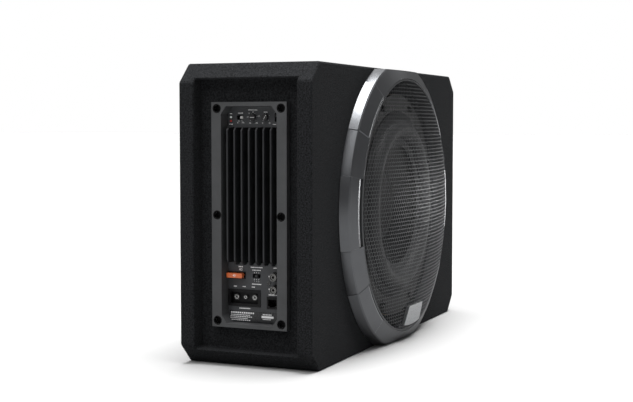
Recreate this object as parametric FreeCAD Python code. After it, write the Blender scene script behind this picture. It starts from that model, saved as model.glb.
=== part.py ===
import FreeCAD, Part
import math
import os

# Powered car subwoofer: a shallow carpeted box with a 10-inch driver in its front
# and an amplifier module sunk into its left end.
# Millimetres. +Z is up, the driver faces -Y, the amplifier end faces -X.
# The origin is the centre of the underside of the enclosure, on its bottom carpet.

Vector = FreeCAD.Vector

# ---- Enclosure -------------------------------------------------------------
WIDTH = 500.0
DEPTH = 158.0
HEIGHT = 330.0
CORNER_CUT = 21.0
BOARD = 15.0
CARPET = 1.2
RECESS = 20.5
CLEAT = 18.0
CLEAT_GAP = 0.2
WADDING_THICK = 20.0
WADDING_INNER = 82.0
WADDING_MARGIN = 4.0

WOOD_HALF_W = WIDTH / 2 - CARPET
WOOD_HALF_D = DEPTH / 2 - CARPET
WOOD_TOP = HEIGHT - CARPET
WOOD_CUT = CORNER_CUT - CARPET * (2 - math.sqrt(2))
INNER_HALF_D = WOOD_HALF_D - BOARD
INNER_LOW = CARPET + BOARD
INNER_HIGH = HEIGHT - INNER_LOW
PANEL_FACE = WIDTH / 2 - RECESS
PANEL_OUT = PANEL_FACE - CARPET
PANEL_IN = PANEL_OUT - BOARD

# ---- Driver, measured along its axis; BAFFLE is the carpeted front face ------
AXIS_Z = HEIGHT / 2
BAFFLE = -DEPTH / 2
WOOD_FRONT = -WOOD_HALF_D
CUTOUT_R = 118.0
CARPET_HOLE_R = 140.0
FRAME_R = 135.0
FRAME_THICK = 4.2
GASKET = 1.0
GASKET_INSET = 1.0
FLANGE_BACK = WOOD_FRONT - GASKET
FLANGE_FRONT = FLANGE_BACK - FRAME_THICK
BASKET_TOP_R = 115.0
BASKET_WALL = 2.5
LANDING_R = 68.0
LANDING_Y = -36.0
SHELF_W = 4.0
SHELF_T = 1.0
DRIVER_SCREWS = 8
DRIVER_SCREW_PCD_R = 127.0
DRIVER_SHANK_R = 2.4
DRIVER_HEAD_R = 4.0
DRIVER_HEAD = 3.0
DRIVER_SOCKET = 2.0
DRIVER_SCREW_END = 1.0
BASKET_WINDOWS = 6
WINDOW_DEG = 38.0
WINDOW_TOP_LAND = 6.0
WINDOW_LOW_LAND = 3.0
WINDOW_SIDE_LAND = 2.0

SURROUND_T = 1.2
ROLL_IN_R = 82.0
ROLL_OUT_R = 105.0
SURROUND_GLUE = 9.0
CONE_T = 1.4
CONE_NECK_Y = -52.0
CONE_MID_R = 60.0
CONE_CURVE = 0.85
CONE_CAP_R = 44.0
CAP_SINK = 7.0
CAP_T = 1.2
FORMER_R = 25.4
FORMER_T = 0.4
COIL_T = 1.3
COIL_LEN = 20.0
FORMER_END = 1.5
GAP_IN_R = 24.4
GAP_OUT_R = 27.4
SPIDER_T = 0.8
SPIDER_Y = -32.0
SPIDER_RIPPLES = 5
SPIDER_RIPPLE = 1.5
TOP_PLATE_Y0 = -14.0
TOP_PLATE_T = 6.0
MAGNET_T = 20.0
MAGNET_R = 62.0
MAGNET_BORE_R = 34.0
YOKE_T = 6.0
POLE_VENT_R = 6.0
STEEL_R = 58.0
BOOT_T = 2.0
MAGNET_Y0 = TOP_PLATE_Y0 + TOP_PLATE_T
MAGNET_Y1 = MAGNET_Y0 + MAGNET_T
COIL_MID = TOP_PLATE_Y0 + TOP_PLATE_T / 2

# ---- Trim ring and grille ----------------------------------------------------
RING_BASE_R = 176.0
RING_EDGE_R = 172.5
RING_EDGE_P = 11.4
RING_LIP_R = 154.6
RING_LIP_P = 18.9
RING_BORE_R = 153.8
RING_WALL = 3.0
RING_LIP_T = 4.4
RING_FACE_T = 2.0
RING_FLAT = 1.5
RING_BLOCK_DEG = 14.0
RING_BLOCK_RISE = 0.8
RING_BREAKS_DEG = (32.0, 56.0)
GROOVE_W = 0.6
GROOVE_D = 0.4
GRILLE_T = 1.0
GRILLE_R = RING_BORE_R - 0.2
GRILLE_RISE = 21.5
GRILLE_SKIRT = 11.0
DOME_R = (GRILLE_R ** 2 + GRILLE_RISE ** 2) / (2 * GRILLE_RISE)
BADGE_LOW = 18.0
BADGE_HIGH = 44.0
BADGE_TOP_W = 49.0
BADGE_BASE_W = 56.0
BADGE_ARC_R = 146.5
BADGE_PROUD = 3.5
BADGE_BLOCK = 40.0

# ---- Amplifier module, "e" is the depth behind the plane of the end -----------
PLATE_E = 11.5
PLATE_HALF_Y = 45.0
PLATE_LOW = 42.5
PLATE_HIGH = 287.5
PLATE_FACE_T = 3.0
PLATE_SKIRT = 2.5
AMP_GASKET = 0.8
TUB_E = 36.0
TUB_T = 2.0
TUB_CLEAR = 0.4
OPEN_HALF_Y = 33.4
OPEN_LOW = 46.5
OPEN_HIGH = 283.0
OPEN_CUT_Y = 6.0
OPEN_CUT_Z = 8.6
SCREW_Y = 38.4
SCREW_Z = (49.4, 165.0, 280.6)
SCREW_RECESS_R = 4.3
SCREW_BOSS_R = 6.0
SCREW_SHANK_R = 1.9
SCREW_HEAD_E = 17.0
SCREW_HEAD_T = 1.8
SCREW_END_E = 34.0
FIT = 0.1
OVERCUT = 1.0
CROSS_W = 0.7
CROSS_D = 0.9
CROSS_REACH = 0.7

FINS = 7
FIN_PITCH = 8.7
FIN_T = 2.0
FIN_LOW = 113.0
FIN_HIGH = 260.0
FIN_NOSE = 3.0
SINK_BASE_T = 5.0

PANEL_E = 27.0
PANEL_T = 2.0
PANEL_RETURN = 1.5
SCALLOP_LAND = 2.0

BOARD_E = 46.0
BOARD_T = 1.6
BOARD_MARGIN = 5.5
BOARD_SIDE_GAP = 2.0
COVER_END_E = 96.0
COVER_T = 1.5

CONTROL_Z = 271.0
LIGHT_Y = 29.0
LIGHT_Z = (271.3, 267.2)
LIGHT_R = 1.1
LIGHT_STEM = 4.0
PHASE_Y = 17.5
SWITCH_W = 8.8
SWITCH_H = 4.7
SWITCH_RIM = 0.8
SWITCH_DEEP = 8.0
SWITCH_FLOOR = 1.5
SLIDER_GAP = 0.3
SLIDER_INSET = 1.0
LEVER_W = 3.4
LEVER_H = 2.6
LEVER_PROUD = 1.2
PHASE_REST = -1.9
KNOB_R = 3.4
KNOB_E = 23.5
KNOB_SHAFT_R = 2.0
KNOB_SHAFT_END_E = 36.0
KNOB_FACE_GAP = 0.4
KNOB_SLOT_W = 1.0
KNOB_SLOT_D = 1.2
KNOB_SLOT_LAND = 0.6
GAIN_SLOT_DEG = -55.0
SHAFT_CLEAR = 0.05
CROSSOVER_Y = 2.0
GAIN_Y = -13.0
POT_HALF = 5.0
POT_BACK = 2.0
LEVEL_Y = -26.5
LEVEL_W = 5.2
LEVEL_H = 9.4
LEVEL_LEVER_W = 2.6
LEVEL_LEVER_H = 3.4
LEVEL_REST = 2.0

FUSE_Y = 22.4
FUSE_Z = 98.3
FUSE_W = 19.1
FUSE_H = 5.1
FUSE_E = 20.0
FUSE_CAP = 5.0
FUSE_NOTCH = 1.6
FUSE_BODY_END_E = 28.5
FUSE_BLADE_END_E = 38.0
FUSE_BLADE_W = 5.2
FUSE_BLADE_T = 0.7
FUSE_BLADE_PITCH = 11.6
FUSE_BLADE_ROOT = 2.0
BLADE_CLEAR = 0.3
HOLDER_W = 21.8
HOLDER_H = 8.0
HOLDER_RIM = 0.6
HOLDER_LIP = 0.5
HOLDER_FLOOR_E = 29.5
HOLDER_END_E = 43.0
FUSE_CLEAR = 0.4

MODE_Y = -1.6
MODE_Z = 98.2
MODE_W = 9.4
MODE_H = 4.4

JACK_Y = -25.0
JACK_Z = (98.6, 84.6)
JACK_R = 4.15
JACK_WALL = 0.5
JACK_E = 18.5
JACK_ROOT_R = 3.9
JACK_ROOT = 4.0
JACK_FLOOR = 2.0
INSULATOR_R = 2.65
INSULATOR_INSET = 1.0
JACK_PIN_BORE_R = 1.6
JACK_COLLAR_R = 5.2
JACK_COLLAR_E = 25.5
INPUT_HALF_Y = 6.2
INPUT_LOW = 78.6
INPUT_HIGH = 104.6
INPUT_END_E = 43.0
INPUT_SCREW_Y = -16.4
INPUT_SCREW_Z = 91.2
INPUT_SCREW_R = 1.9
INPUT_SHANK_R = 1.1
INPUT_HEAD_T = 1.4
INPUT_SHANK = 7.0
INPUT_LUG_HALF_Y = 3.0
INPUT_LUG_HALF_Z = 3.5
INPUT_LUG_T = 6.0

REMOTE_Y = -20.6
REMOTE_Z = 69.6
REMOTE_HALF = 6.7
REMOTE_MOUTH_HALF_Y = 5.0
REMOTE_MOUTH_HALF_Z = 3.6
REMOTE_KEY_HALF_Y = 3.0
REMOTE_KEY_Z = 1.5
REMOTE_FLOOR_E = 40.0
REMOTE_END_E = 42.0
REMOTE_PROUD = 0.5

TERMINAL_Y0 = -6.4
TERMINAL_Y1 = 33.0
TERMINAL_LOW = 64.2
TERMINAL_HIGH = 82.8
TERMINAL_RIM = 3.0
TERMINAL_FLOOR_E = 32.5
TERMINAL_END_E = 43.0
TERMINAL_PROUD = 1.0
TERMINAL_WALL = 1.2
TERMINAL_Z = 73.8
TERMINAL_SCREWS = (("earth_screw", 24.5, 3.3), ("remote_screw", 13.6, 2.3), ("supply_screw", 2.5, 3.3))
TERMINAL_HEAD_T = 2.2
TERMINAL_SHANK_RATIO = 0.55
TERMINAL_SHANK = 7.0

LABEL_HALF_Y = 31.0
LABEL_LOW = 47.5
LABEL_HIGH = 59.0
LABEL_T = 0.6

CAPACITOR_R = 9.0
CAPACITOR_LEN = 35.0
CAPACITOR_Z = (96.0, 118.0)
CAPACITOR_Y = 14.0
TOROID_R = 22.0
TOROID_BORE_R = 8.0
TOROID_T = 22.0
TOROID_Z = 180.0
TRANSISTOR_Z = (132.0, 154.0, 206.0, 228.0)
TRANSISTOR_Y = 24.0
TRANSISTOR_W = 10.0
TRANSISTOR_H = 16.0
TRANSISTOR_T = 4.4

LEAD_R = 2.5
LEAD_Z = AXIS_Z
LEAD_START_Y = 12.0
LEAD_END_Y = -26.0
LEAD_BEND_R = 22.0
LEAD_OUT_X = -128.0
LEAD_IN_X = -100.0
TERMINAL_TAB_X = -77.0
TERMINAL_TAB_IN = 4.0
TERMINAL_TAB_HALF_Y = 6.0
TERMINAL_TAB_HALF_Z = 9.0

FAR = 1000.0


def end_x(e):
    """X of a plane that lies e behind the plane of the amplifier end."""
    return e - WIDTH / 2


def box(x0, x1, y0, y1, z0, z1):
    return Part.makeBox(x1 - x0, y1 - y0, z1 - z0, Vector(x0, y0, z0))


def centred_box(e0, e1, y, half_y, z, half_z):
    return box(end_x(e0), end_x(e1), y - half_y, y + half_y, z - half_z, z + half_z)


def rod_x(e0, e1, y, z, radius):
    return Part.makeCylinder(radius, e1 - e0, Vector(end_x(e0), y, z), Vector(1, 0, 0))


def rod_y(y0, y1, x, z, radius):
    return Part.makeCylinder(radius, y1 - y0, Vector(x, y0, z), Vector(0, 1, 0))


def on_axis(radius, y):
    return Vector(radius, y, AXIS_Z)


def turn(wire):
    """Revolve a closed outline about the driver's axis."""
    return Part.Face(wire).revolve(Vector(0, 0, AXIS_Z), Vector(0, 1, 0), 360)


def turned(points):
    corners = [on_axis(radius, y) for radius, y in points]
    return turn(Part.makePolygon(corners + corners[:1]))


def washer_y(outer, inner, y0, y1):
    return turned([(inner, y0), (outer, y0), (outer, y1), (inner, y1)])


def prism_y(corners_xz, y0, y1):
    points = [Vector(x, y0, z) for x, z in corners_xz]
    face = Part.Face(Part.makePolygon(points + points[:1]))
    return face.extrude(Vector(0, y1 - y0, 0))


def prism_x(corners_yz, e0, e1):
    points = [Vector(end_x(e0), y, z) for y, z in corners_yz]
    face = Part.Face(Part.makePolygon(points + points[:1]))
    return face.extrude(Vector(e1 - e0, 0, 0))


def prism_z(corners_xy, z0, z1):
    points = [Vector(x, y, z0) for x, y in corners_xy]
    face = Part.Face(Part.makePolygon(points + points[:1]))
    return face.extrude(Vector(0, 0, z1 - z0))


def on_circle(count, radius, start_deg=0.0):
    """X and Z of evenly spaced points round the driver's axis."""
    places = []
    for index in range(count):
        angle = math.radians(start_deg + index * 360.0 / count)
        places.append((radius * math.cos(angle), AXIS_Z + radius * math.sin(angle)))
    return places


def octagon(half_w, low, high, cut):
    """Front outline of the box, with its four corners cut off."""
    return [
        (half_w, low + cut), (half_w, high - cut),
        (half_w - cut, high), (cut - half_w, high),
        (-half_w, high - cut), (-half_w, low + cut),
        (cut - half_w, low), (half_w - cut, low),
    ]


def opening_outline(grow):
    """Cut-cornered outline of the amplifier's opening, grown outwards."""
    y = OPEN_HALF_Y + grow
    low = OPEN_LOW - grow
    high = OPEN_HIGH + grow
    return [
        (y, low + OPEN_CUT_Z), (y, high - OPEN_CUT_Z),
        (y - OPEN_CUT_Y, high), (OPEN_CUT_Y - y, high),
        (-y, high - OPEN_CUT_Z), (-y, low + OPEN_CUT_Z),
        (OPEN_CUT_Y - y, low), (y - OPEN_CUT_Y, low),
    ]


# ---- Enclosure ---------------------------------------------------------------
def wood_block(y0, y1):
    return prism_y(octagon(WOOD_HALF_W, CARPET, WOOD_TOP, WOOD_CUT), y0, y1)


def driver_screw_places():
    return on_circle(DRIVER_SCREWS, DRIVER_SCREW_PCD_R, 180.0 / DRIVER_SCREWS)


def front_baffle():
    board = wood_block(WOOD_FRONT, -INNER_HALF_D)
    board = board.cut(rod_y(WOOD_FRONT, -INNER_HALF_D, 0, AXIS_Z, CUTOUT_R))
    for x, z in driver_screw_places():
        board = board.cut(rod_y(WOOD_FRONT, -INNER_HALF_D, x, z, DRIVER_SHANK_R + FIT))
    return board


def back_board():
    return wood_block(INNER_HALF_D, WOOD_HALF_D)


def top_board():
    middle = wood_block(-INNER_HALF_D, INNER_HALF_D)
    return middle.common(box(-WIDTH, WIDTH, -DEPTH, DEPTH, INNER_HIGH, WOOD_TOP))


def bottom_board():
    middle = wood_block(-INNER_HALF_D, INNER_HALF_D)
    return middle.common(box(-WIDTH, WIDTH, -DEPTH, DEPTH, CARPET, INNER_LOW))


def amp_screw_holes(shape, radius):
    for y in (-SCREW_Y, SCREW_Y):
        for z in SCREW_Z:
            shape = shape.cut(rod_x(0, SCREW_END_E + FIT, y, z, radius))
    return shape


def amp_end_panel():
    panel = box(-PANEL_OUT, -PANEL_IN, -INNER_HALF_D, INNER_HALF_D, INNER_LOW, INNER_HIGH)
    panel = panel.cut(prism_x(opening_outline(TUB_T + TUB_CLEAR), 0, COVER_END_E))
    return amp_screw_holes(panel, SCREW_SHANK_R + FIT)


def far_end_panel():
    return box(PANEL_IN, PANEL_OUT, -INNER_HALF_D, INNER_HALF_D, INNER_LOW, INNER_HIGH)


def corner_cleats():
    cleats = []
    far = INNER_HALF_D - CLEAT_GAP
    for side_x in (-1, 1):
        for side_y in (-1, 1):
            x0, x1 = sorted((side_x * PANEL_IN, side_x * (PANEL_IN - CLEAT)))
            y0, y1 = sorted((side_y * far, side_y * (far - CLEAT)))
            cleats.append(box(x0, x1, y0, y1, INNER_LOW + CLEAT_GAP, INNER_HIGH - CLEAT_GAP))
    return Part.makeCompound(cleats)


def wadding():
    pads = []
    outer = PANEL_IN - CLEAT - WADDING_MARGIN
    for side in (-1, 1):
        x0, x1 = sorted((side * WADDING_INNER, side * outer))
        y0 = INNER_HALF_D - WADDING_THICK
        pads.append(box(x0, x1, y0, INNER_HALF_D - CLEAT_GAP,
                        INNER_LOW + WADDING_MARGIN, INNER_HIGH - WADDING_MARGIN))
    return Part.makeCompound(pads)


def recess_box(side, lining):
    """The recess in one end, out to well past the end."""
    half_y = INNER_HALF_D - lining
    x0, x1 = sorted((side * (PANEL_OUT + lining), side * WIDTH))
    return box(x0, x1, -half_y, half_y, INNER_LOW + lining, INNER_HIGH - lining)


def carpet_block():
    return prism_y(octagon(WIDTH / 2, 0, HEIGHT, CORNER_CUT), -DEPTH / 2, DEPTH / 2)


def carpet_bottom():
    half_w = WIDTH / 2 - CORNER_CUT
    return box(-half_w, half_w, -DEPTH / 2, DEPTH / 2, 0, CARPET)


def carpet_wrap():
    cover = carpet_block().cut(wood_block(-WOOD_HALF_D, WOOD_HALF_D))
    cover = cover.cut(recess_box(-1, 0)).cut(recess_box(1, 0))
    cover = cover.cut(rod_y(-DEPTH, 0, 0, AXIS_Z, CARPET_HOLE_R))
    return cover.cut(carpet_bottom())


def recess_carpet():
    """Carpet turned into both end recesses: a tray of felt in each."""
    outer = carpet_block()
    trays = []
    for side in (-1, 1):
        tray = recess_box(side, 0).cut(recess_box(side, CARPET)).common(outer)
        if side < 0:
            tray = tray.cut(prism_x(opening_outline(TUB_T + TUB_CLEAR), 0, COVER_END_E))
            tray = amp_screw_holes(tray, SCREW_SHANK_R + FIT)
        trays.append(tray)
    return Part.makeCompound(trays)


# ---- Driver --------------------------------------------------------------------
def driver_gasket():
    ring = washer_y(FRAME_R - GASKET_INSET, CUTOUT_R, FLANGE_BACK, WOOD_FRONT)
    for x, z in driver_screw_places():
        ring = ring.cut(rod_y(FLANGE_BACK, WOOD_FRONT, x, z, DRIVER_SHANK_R + FIT))
    return ring


def driver_frame():
    """Pressed basket: flange, six-window wall, spider landing and magnet seat."""
    wall = BASKET_WALL
    landing = LANDING_R - wall
    frame = turned([
        (ROLL_OUT_R, FLANGE_FRONT), (FRAME_R, FLANGE_FRONT), (FRAME_R, FLANGE_BACK),
        (BASKET_TOP_R, FLANGE_BACK), (LANDING_R, LANDING_Y), (LANDING_R, TOP_PLATE_Y0),
        (MAGNET_BORE_R, TOP_PLATE_Y0), (MAGNET_BORE_R, TOP_PLATE_Y0 - wall),
        (landing, TOP_PLATE_Y0 - wall), (landing, SPIDER_Y + SHELF_T),
        (landing - SHELF_W, SPIDER_Y + SHELF_T), (landing - SHELF_W, SPIDER_Y),
        (landing, SPIDER_Y), (landing, LANDING_Y),
        (BASKET_TOP_R - 2 * wall, FLANGE_BACK + wall), (ROLL_OUT_R, FLANGE_BACK),
    ])
    for x, z in driver_screw_places():
        frame = frame.cut(rod_y(FLANGE_FRONT, FLANGE_BACK, x, z, DRIVER_SHANK_R + FIT * 3))
    window = washer_y(FRAME_R, LANDING_R + WINDOW_SIDE_LAND,
                      FLANGE_BACK + WINDOW_TOP_LAND, LANDING_Y - WINDOW_LOW_LAND)
    for index in range(BASKET_WINDOWS):
        frame = frame.cut(wedge(window, index * 360.0 / BASKET_WINDOWS, WINDOW_DEG))
    return frame


def wedge(shape, middle_deg, width_deg):
    """The sector of a turned shape that is centred on an angle round the axis."""
    half = math.radians(width_deg / 2)
    middle = math.radians(middle_deg)
    reach = FAR / 2
    corners = [(0, AXIS_Z)]
    for angle in (middle - half, middle, middle + half):
        corners.append((reach * math.cos(angle), AXIS_Z + reach * math.sin(angle)))
    return shape.common(prism_y(corners, -DEPTH * 2, DEPTH * 2))


def driver_screws():
    screws = []
    for x, z in driver_screw_places():
        head = rod_y(FLANGE_FRONT - DRIVER_HEAD, FLANGE_FRONT, x, z, DRIVER_HEAD_R)
        top = FLANGE_FRONT - DRIVER_HEAD
        socket = rod_y(top, top + DRIVER_SOCKET, x, z, DRIVER_SHANK_R - FIT)
        shank = rod_y(FLANGE_FRONT, -INNER_HALF_D - DRIVER_SCREW_END, x, z, DRIVER_SHANK_R)
        screws.append(head.cut(socket).fuse(shank))
    return Part.makeCompound(screws)


def surround():
    """Half-roll rubber surround with its two glue flanges."""
    y0 = FLANGE_FRONT - SURROUND_T
    y1 = FLANGE_FRONT
    middle = (ROLL_IN_R + ROLL_OUT_R) / 2
    roll = (ROLL_OUT_R - ROLL_IN_R) / 2
    glue_in = ROLL_IN_R - SURROUND_GLUE
    glue_out = ROLL_OUT_R + SURROUND_GLUE
    edges = [
        Part.LineSegment(on_axis(glue_in, y1), on_axis(glue_in, y0)),
        Part.LineSegment(on_axis(glue_in, y0), on_axis(ROLL_IN_R, y0)),
        Part.Arc(on_axis(ROLL_IN_R, y0), on_axis(middle, y0 - roll), on_axis(ROLL_OUT_R, y0)),
        Part.LineSegment(on_axis(ROLL_OUT_R, y0), on_axis(glue_out, y0)),
        Part.LineSegment(on_axis(glue_out, y0), on_axis(glue_out, y1)),
        Part.LineSegment(on_axis(glue_out, y1), on_axis(ROLL_OUT_R - SURROUND_T, y1)),
        Part.Arc(on_axis(ROLL_OUT_R - SURROUND_T, y1), on_axis(middle, y1 - roll + SURROUND_T),
                 on_axis(ROLL_IN_R + SURROUND_T, y1)),
        Part.LineSegment(on_axis(ROLL_IN_R + SURROUND_T, y1), on_axis(glue_in, y1)),
    ]
    return turn(Part.Wire([edge.toShape() for edge in edges]))


def cone_depth(radius):
    """Front face of the cone: a dish that steepens a little towards its neck."""
    share = (ROLL_IN_R - radius) / (ROLL_IN_R - FORMER_R)
    return FLANGE_FRONT + (CONE_NECK_Y - FLANGE_FRONT) * share ** CONE_CURVE


def cone():
    """Dished paper cone, glued under the surround and round the coil former."""
    front = [
        (ROLL_IN_R, FLANGE_FRONT), (ROLL_IN_R - SURROUND_GLUE, FLANGE_FRONT + FIT),
        (CONE_MID_R, cone_depth(CONE_MID_R)), (CONE_CAP_R, cone_depth(CONE_CAP_R)),
        (FORMER_R, CONE_NECK_Y),
    ]
    back = [(radius, y + CONE_T) for radius, y in reversed(front)]
    return turned(front + back)


def dust_cap():
    """Inverted cap, a shallow spherical dish, that closes the middle of the cone."""
    edge_y = cone_depth(CONE_CAP_R) - FIT
    sphere_r = (CONE_CAP_R ** 2 + CAP_SINK ** 2) / (2 * CAP_SINK)
    centre_y = edge_y + CAP_SINK - sphere_r
    faces = []
    for radius in (sphere_r, sphere_r - CAP_T):
        points = []
        for reach in (CONE_CAP_R, CONE_CAP_R / 2, 0.0):
            points.append(on_axis(reach, centre_y + math.sqrt(radius ** 2 - reach ** 2)))
        faces.append(points)
    (back_rim, back_bend, back_pole), (rim, bend, pole) = faces
    edges = [
        Part.Arc(back_rim, back_bend, back_pole), Part.LineSegment(back_pole, pole),
        Part.Arc(pole, bend, rim), Part.LineSegment(rim, back_rim),
    ]
    return turn(Part.Wire([edge.toShape() for edge in edges]))


def coil_former():
    return washer_y(FORMER_R, FORMER_R - FORMER_T, CONE_NECK_Y, FORMER_END)


def voice_coil():
    half = COIL_LEN / 2
    return washer_y(FORMER_R + COIL_T, FORMER_R, COIL_MID - half, COIL_MID + half)


def spider():
    """Corrugated disc that centres the coil former."""
    inner = FORMER_R + FIT
    outer = LANDING_R - BASKET_WALL - FIT
    step = (outer - inner) / (2 * SPIDER_RIPPLES)
    crest = []
    for index in range(2 * SPIDER_RIPPLES + 1):
        rise = SPIDER_RIPPLE if index % 2 else 0.0
        crest.append((inner + index * step, SPIDER_Y - SPIDER_T - rise))
    back = [(radius, y + SPIDER_T) for radius, y in reversed(crest)]
    return turned(crest + back)


def top_plate():
    return washer_y(STEEL_R, GAP_OUT_R, TOP_PLATE_Y0, MAGNET_Y0)


def magnet():
    return washer_y(MAGNET_R, MAGNET_BORE_R, MAGNET_Y0, MAGNET_Y1)


def yoke():
    """Back plate and vented pole in one steel forging."""
    return turned([
        (POLE_VENT_R, TOP_PLATE_Y0), (GAP_IN_R, TOP_PLATE_Y0), (GAP_IN_R, MAGNET_Y1),
        (STEEL_R, MAGNET_Y1), (STEEL_R, MAGNET_Y1 + YOKE_T), (POLE_VENT_R, MAGNET_Y1 + YOKE_T),
    ])


def magnet_boot():
    inner = MAGNET_R + FIT
    end = MAGNET_Y1 + YOKE_T
    return turned([
        (inner, MAGNET_Y0), (inner + BOOT_T, MAGNET_Y0), (inner + BOOT_T, end),
        (STEEL_R + FIT, end), (STEEL_R + FIT, MAGNET_Y1 + FIT), (inner, MAGNET_Y1 + FIT),
    ])


def driver_terminals():
    """Tag strip on the side of the basket, with its two spring terminals."""
    block = box(TERMINAL_TAB_X, TERMINAL_TAB_IN - LANDING_R,
                LEAD_END_Y - TERMINAL_TAB_HALF_Y, LEAD_END_Y + TERMINAL_TAB_HALF_Y,
                LEAD_Z - TERMINAL_TAB_HALF_Z, LEAD_Z + TERMINAL_TAB_HALF_Z)
    return block.cut(rod_y(-DEPTH, DEPTH, 0, AXIS_Z, LANDING_R + FIT))


def speaker_lead():
    """Twin lead from the amplifier's cover to the driver, held at both ends."""
    start = Vector(end_x(COVER_END_E), LEAD_START_Y, LEAD_Z)
    end = Vector(TERMINAL_TAB_X, LEAD_END_Y, LEAD_Z)
    first = Vector(LEAD_OUT_X, LEAD_START_Y, LEAD_Z)
    second = Vector(LEAD_IN_X, LEAD_END_Y, LEAD_Z)
    slope = second.sub(first).normalize()
    reach = LEAD_BEND_R * math.tan(slope.getAngle(Vector(1, 0, 0)) / 2)
    edges = []
    at = start
    for corner, into, out in ((first, Vector(1, 0, 0), slope), (second, slope, Vector(1, 0, 0))):
        before = corner.sub(Vector(into).multiply(reach))
        after = corner.add(Vector(out).multiply(reach))
        inwards = Vector(out).sub(into).normalize()
        turn_angle = slope.getAngle(Vector(1, 0, 0))
        sagitta = LEAD_BEND_R * (1 / math.cos(turn_angle / 2) - 1)
        middle = corner.add(inwards.multiply(sagitta))
        edges.append(Part.LineSegment(at, before).toShape())
        edges.append(Part.Arc(before, middle, after).toShape())
        at = after
    edges.append(Part.LineSegment(at, end).toShape())
    path = Part.Wire(edges)
    ring = Part.Wire(Part.makeCircle(LEAD_R, start, Vector(1, 0, 0)))
    return path.makePipeShell([ring], True, True)


# ---- Trim ring and grille ------------------------------------------------------
def ring_solid(grow):
    """Solid trim ring, with its outer faces moved out by grow."""
    return turned([
        (RING_BORE_R, BAFFLE), (RING_BORE_R, BAFFLE - RING_LIP_P + GROOVE_D - grow),
        (RING_LIP_R, BAFFLE - RING_LIP_P - grow), (RING_EDGE_R + grow, BAFFLE - RING_EDGE_P - grow),
        (RING_BASE_R + grow, BAFFLE),
    ])


def between_flats(shape, inset):
    low = RING_FLAT + inset
    return shape.common(box(-WIDTH, WIDTH, -DEPTH * 2, DEPTH, low, HEIGHT - low))


def halo_ring():
    """Trim ring with flats at top and bottom, raised side blocks and panel lines."""
    body = ring_solid(0)
    skin = body.cut(ring_solid(-GROOVE_D))
    raised = ring_solid(RING_BLOCK_RISE).cut(ring_solid(-GROOVE_D))
    for side_deg in (0, 180):
        body = body.fuse(wedge(raised, side_deg, 2 * RING_BLOCK_DEG))
        for break_deg in RING_BREAKS_DEG:
            for sign in (-1, 1):
                width = math.degrees(GROOVE_W / RING_LIP_R)
                body = body.cut(wedge(skin, side_deg + sign * break_deg, width))
    channel = turned([
        (RING_BORE_R + RING_WALL, BAFFLE), (RING_BORE_R + RING_WALL, BAFFLE - RING_LIP_P + RING_LIP_T),
        (RING_EDGE_R - RING_WALL, BAFFLE - RING_EDGE_P + RING_FACE_T), (RING_BASE_R - RING_WALL, BAFFLE),
    ])
    return between_flats(body, 0).cut(between_flats(channel, RING_WALL)).removeSplitter()


def grille_height(radius, inset=0.0):
    """How far the grille's spherical outer face stands in front of the baffle."""
    sphere_r = DOME_R - inset
    return RING_LIP_P + GRILLE_RISE - DOME_R + math.sqrt(sphere_r ** 2 - radius ** 2)


def dome(inset):
    """Solid under the grille's outer face, moved in by inset, down to the skirt's back."""
    reach = GRILLE_R - inset
    rim, bend, pole = [on_axis(radius, BAFFLE - grille_height(radius, inset))
                       for radius in (reach, reach / 2, 0.0)]
    back = BAFFLE - RING_LIP_P + GRILLE_SKIRT
    arc = Part.Arc(rim, bend, pole).toShape()
    sides = Part.makePolygon([pole, on_axis(0, back), on_axis(reach, back), rim])
    return turn(Part.Wire([arc] + sides.Edges))


def grille():
    """Domed steel grille with a turned-back skirt."""
    return dome(0).cut(dome(GRILLE_T))


def grille_badge():
    """Plain tapered plate low on the grille, its lower edge an arc along the ring."""
    outline = [
        (-BADGE_BASE_W / 2, BADGE_LOW), (BADGE_BASE_W / 2, BADGE_LOW),
        (BADGE_TOP_W / 2, BADGE_HIGH), (-BADGE_TOP_W / 2, BADGE_HIGH),
    ]
    block = prism_y(outline, BAFFLE - BADGE_BLOCK, BAFFLE - RING_LIP_P)
    low_p = grille_height(AXIS_Z - BADGE_LOW) + BADGE_PROUD
    high_p = grille_height(AXIS_Z - BADGE_HIGH) + BADGE_PROUD
    side = [
        Vector(-BADGE_BASE_W, BAFFLE, BADGE_LOW), Vector(-BADGE_BASE_W, BAFFLE - low_p, BADGE_LOW),
        Vector(-BADGE_BASE_W, BAFFLE - high_p, BADGE_HIGH), Vector(-BADGE_BASE_W, BAFFLE, BADGE_HIGH),
    ]
    slab = Part.Face(Part.makePolygon(side + side[:1])).extrude(Vector(2 * BADGE_BASE_W, 0, 0))
    arc = rod_y(BAFFLE - BADGE_BLOCK, BAFFLE, 0, AXIS_Z, BADGE_ARC_R)
    return block.common(slab).common(arc).cut(dome(-FIT / 2))


# ---- Amplifier module ------------------------------------------------------------
def amp_gasket():
    outline = [(PLATE_HALF_Y, PLATE_LOW), (PLATE_HALF_Y, PLATE_HIGH),
               (-PLATE_HALF_Y, PLATE_HIGH), (-PLATE_HALF_Y, PLATE_LOW)]
    pad = prism_x(outline, RECESS - AMP_GASKET, RECESS)
    pad = pad.cut(prism_x(opening_outline(TUB_T + FIT), 0, WIDTH / 2))
    return amp_screw_holes(pad, SCREW_SHANK_R + FIT)


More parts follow.
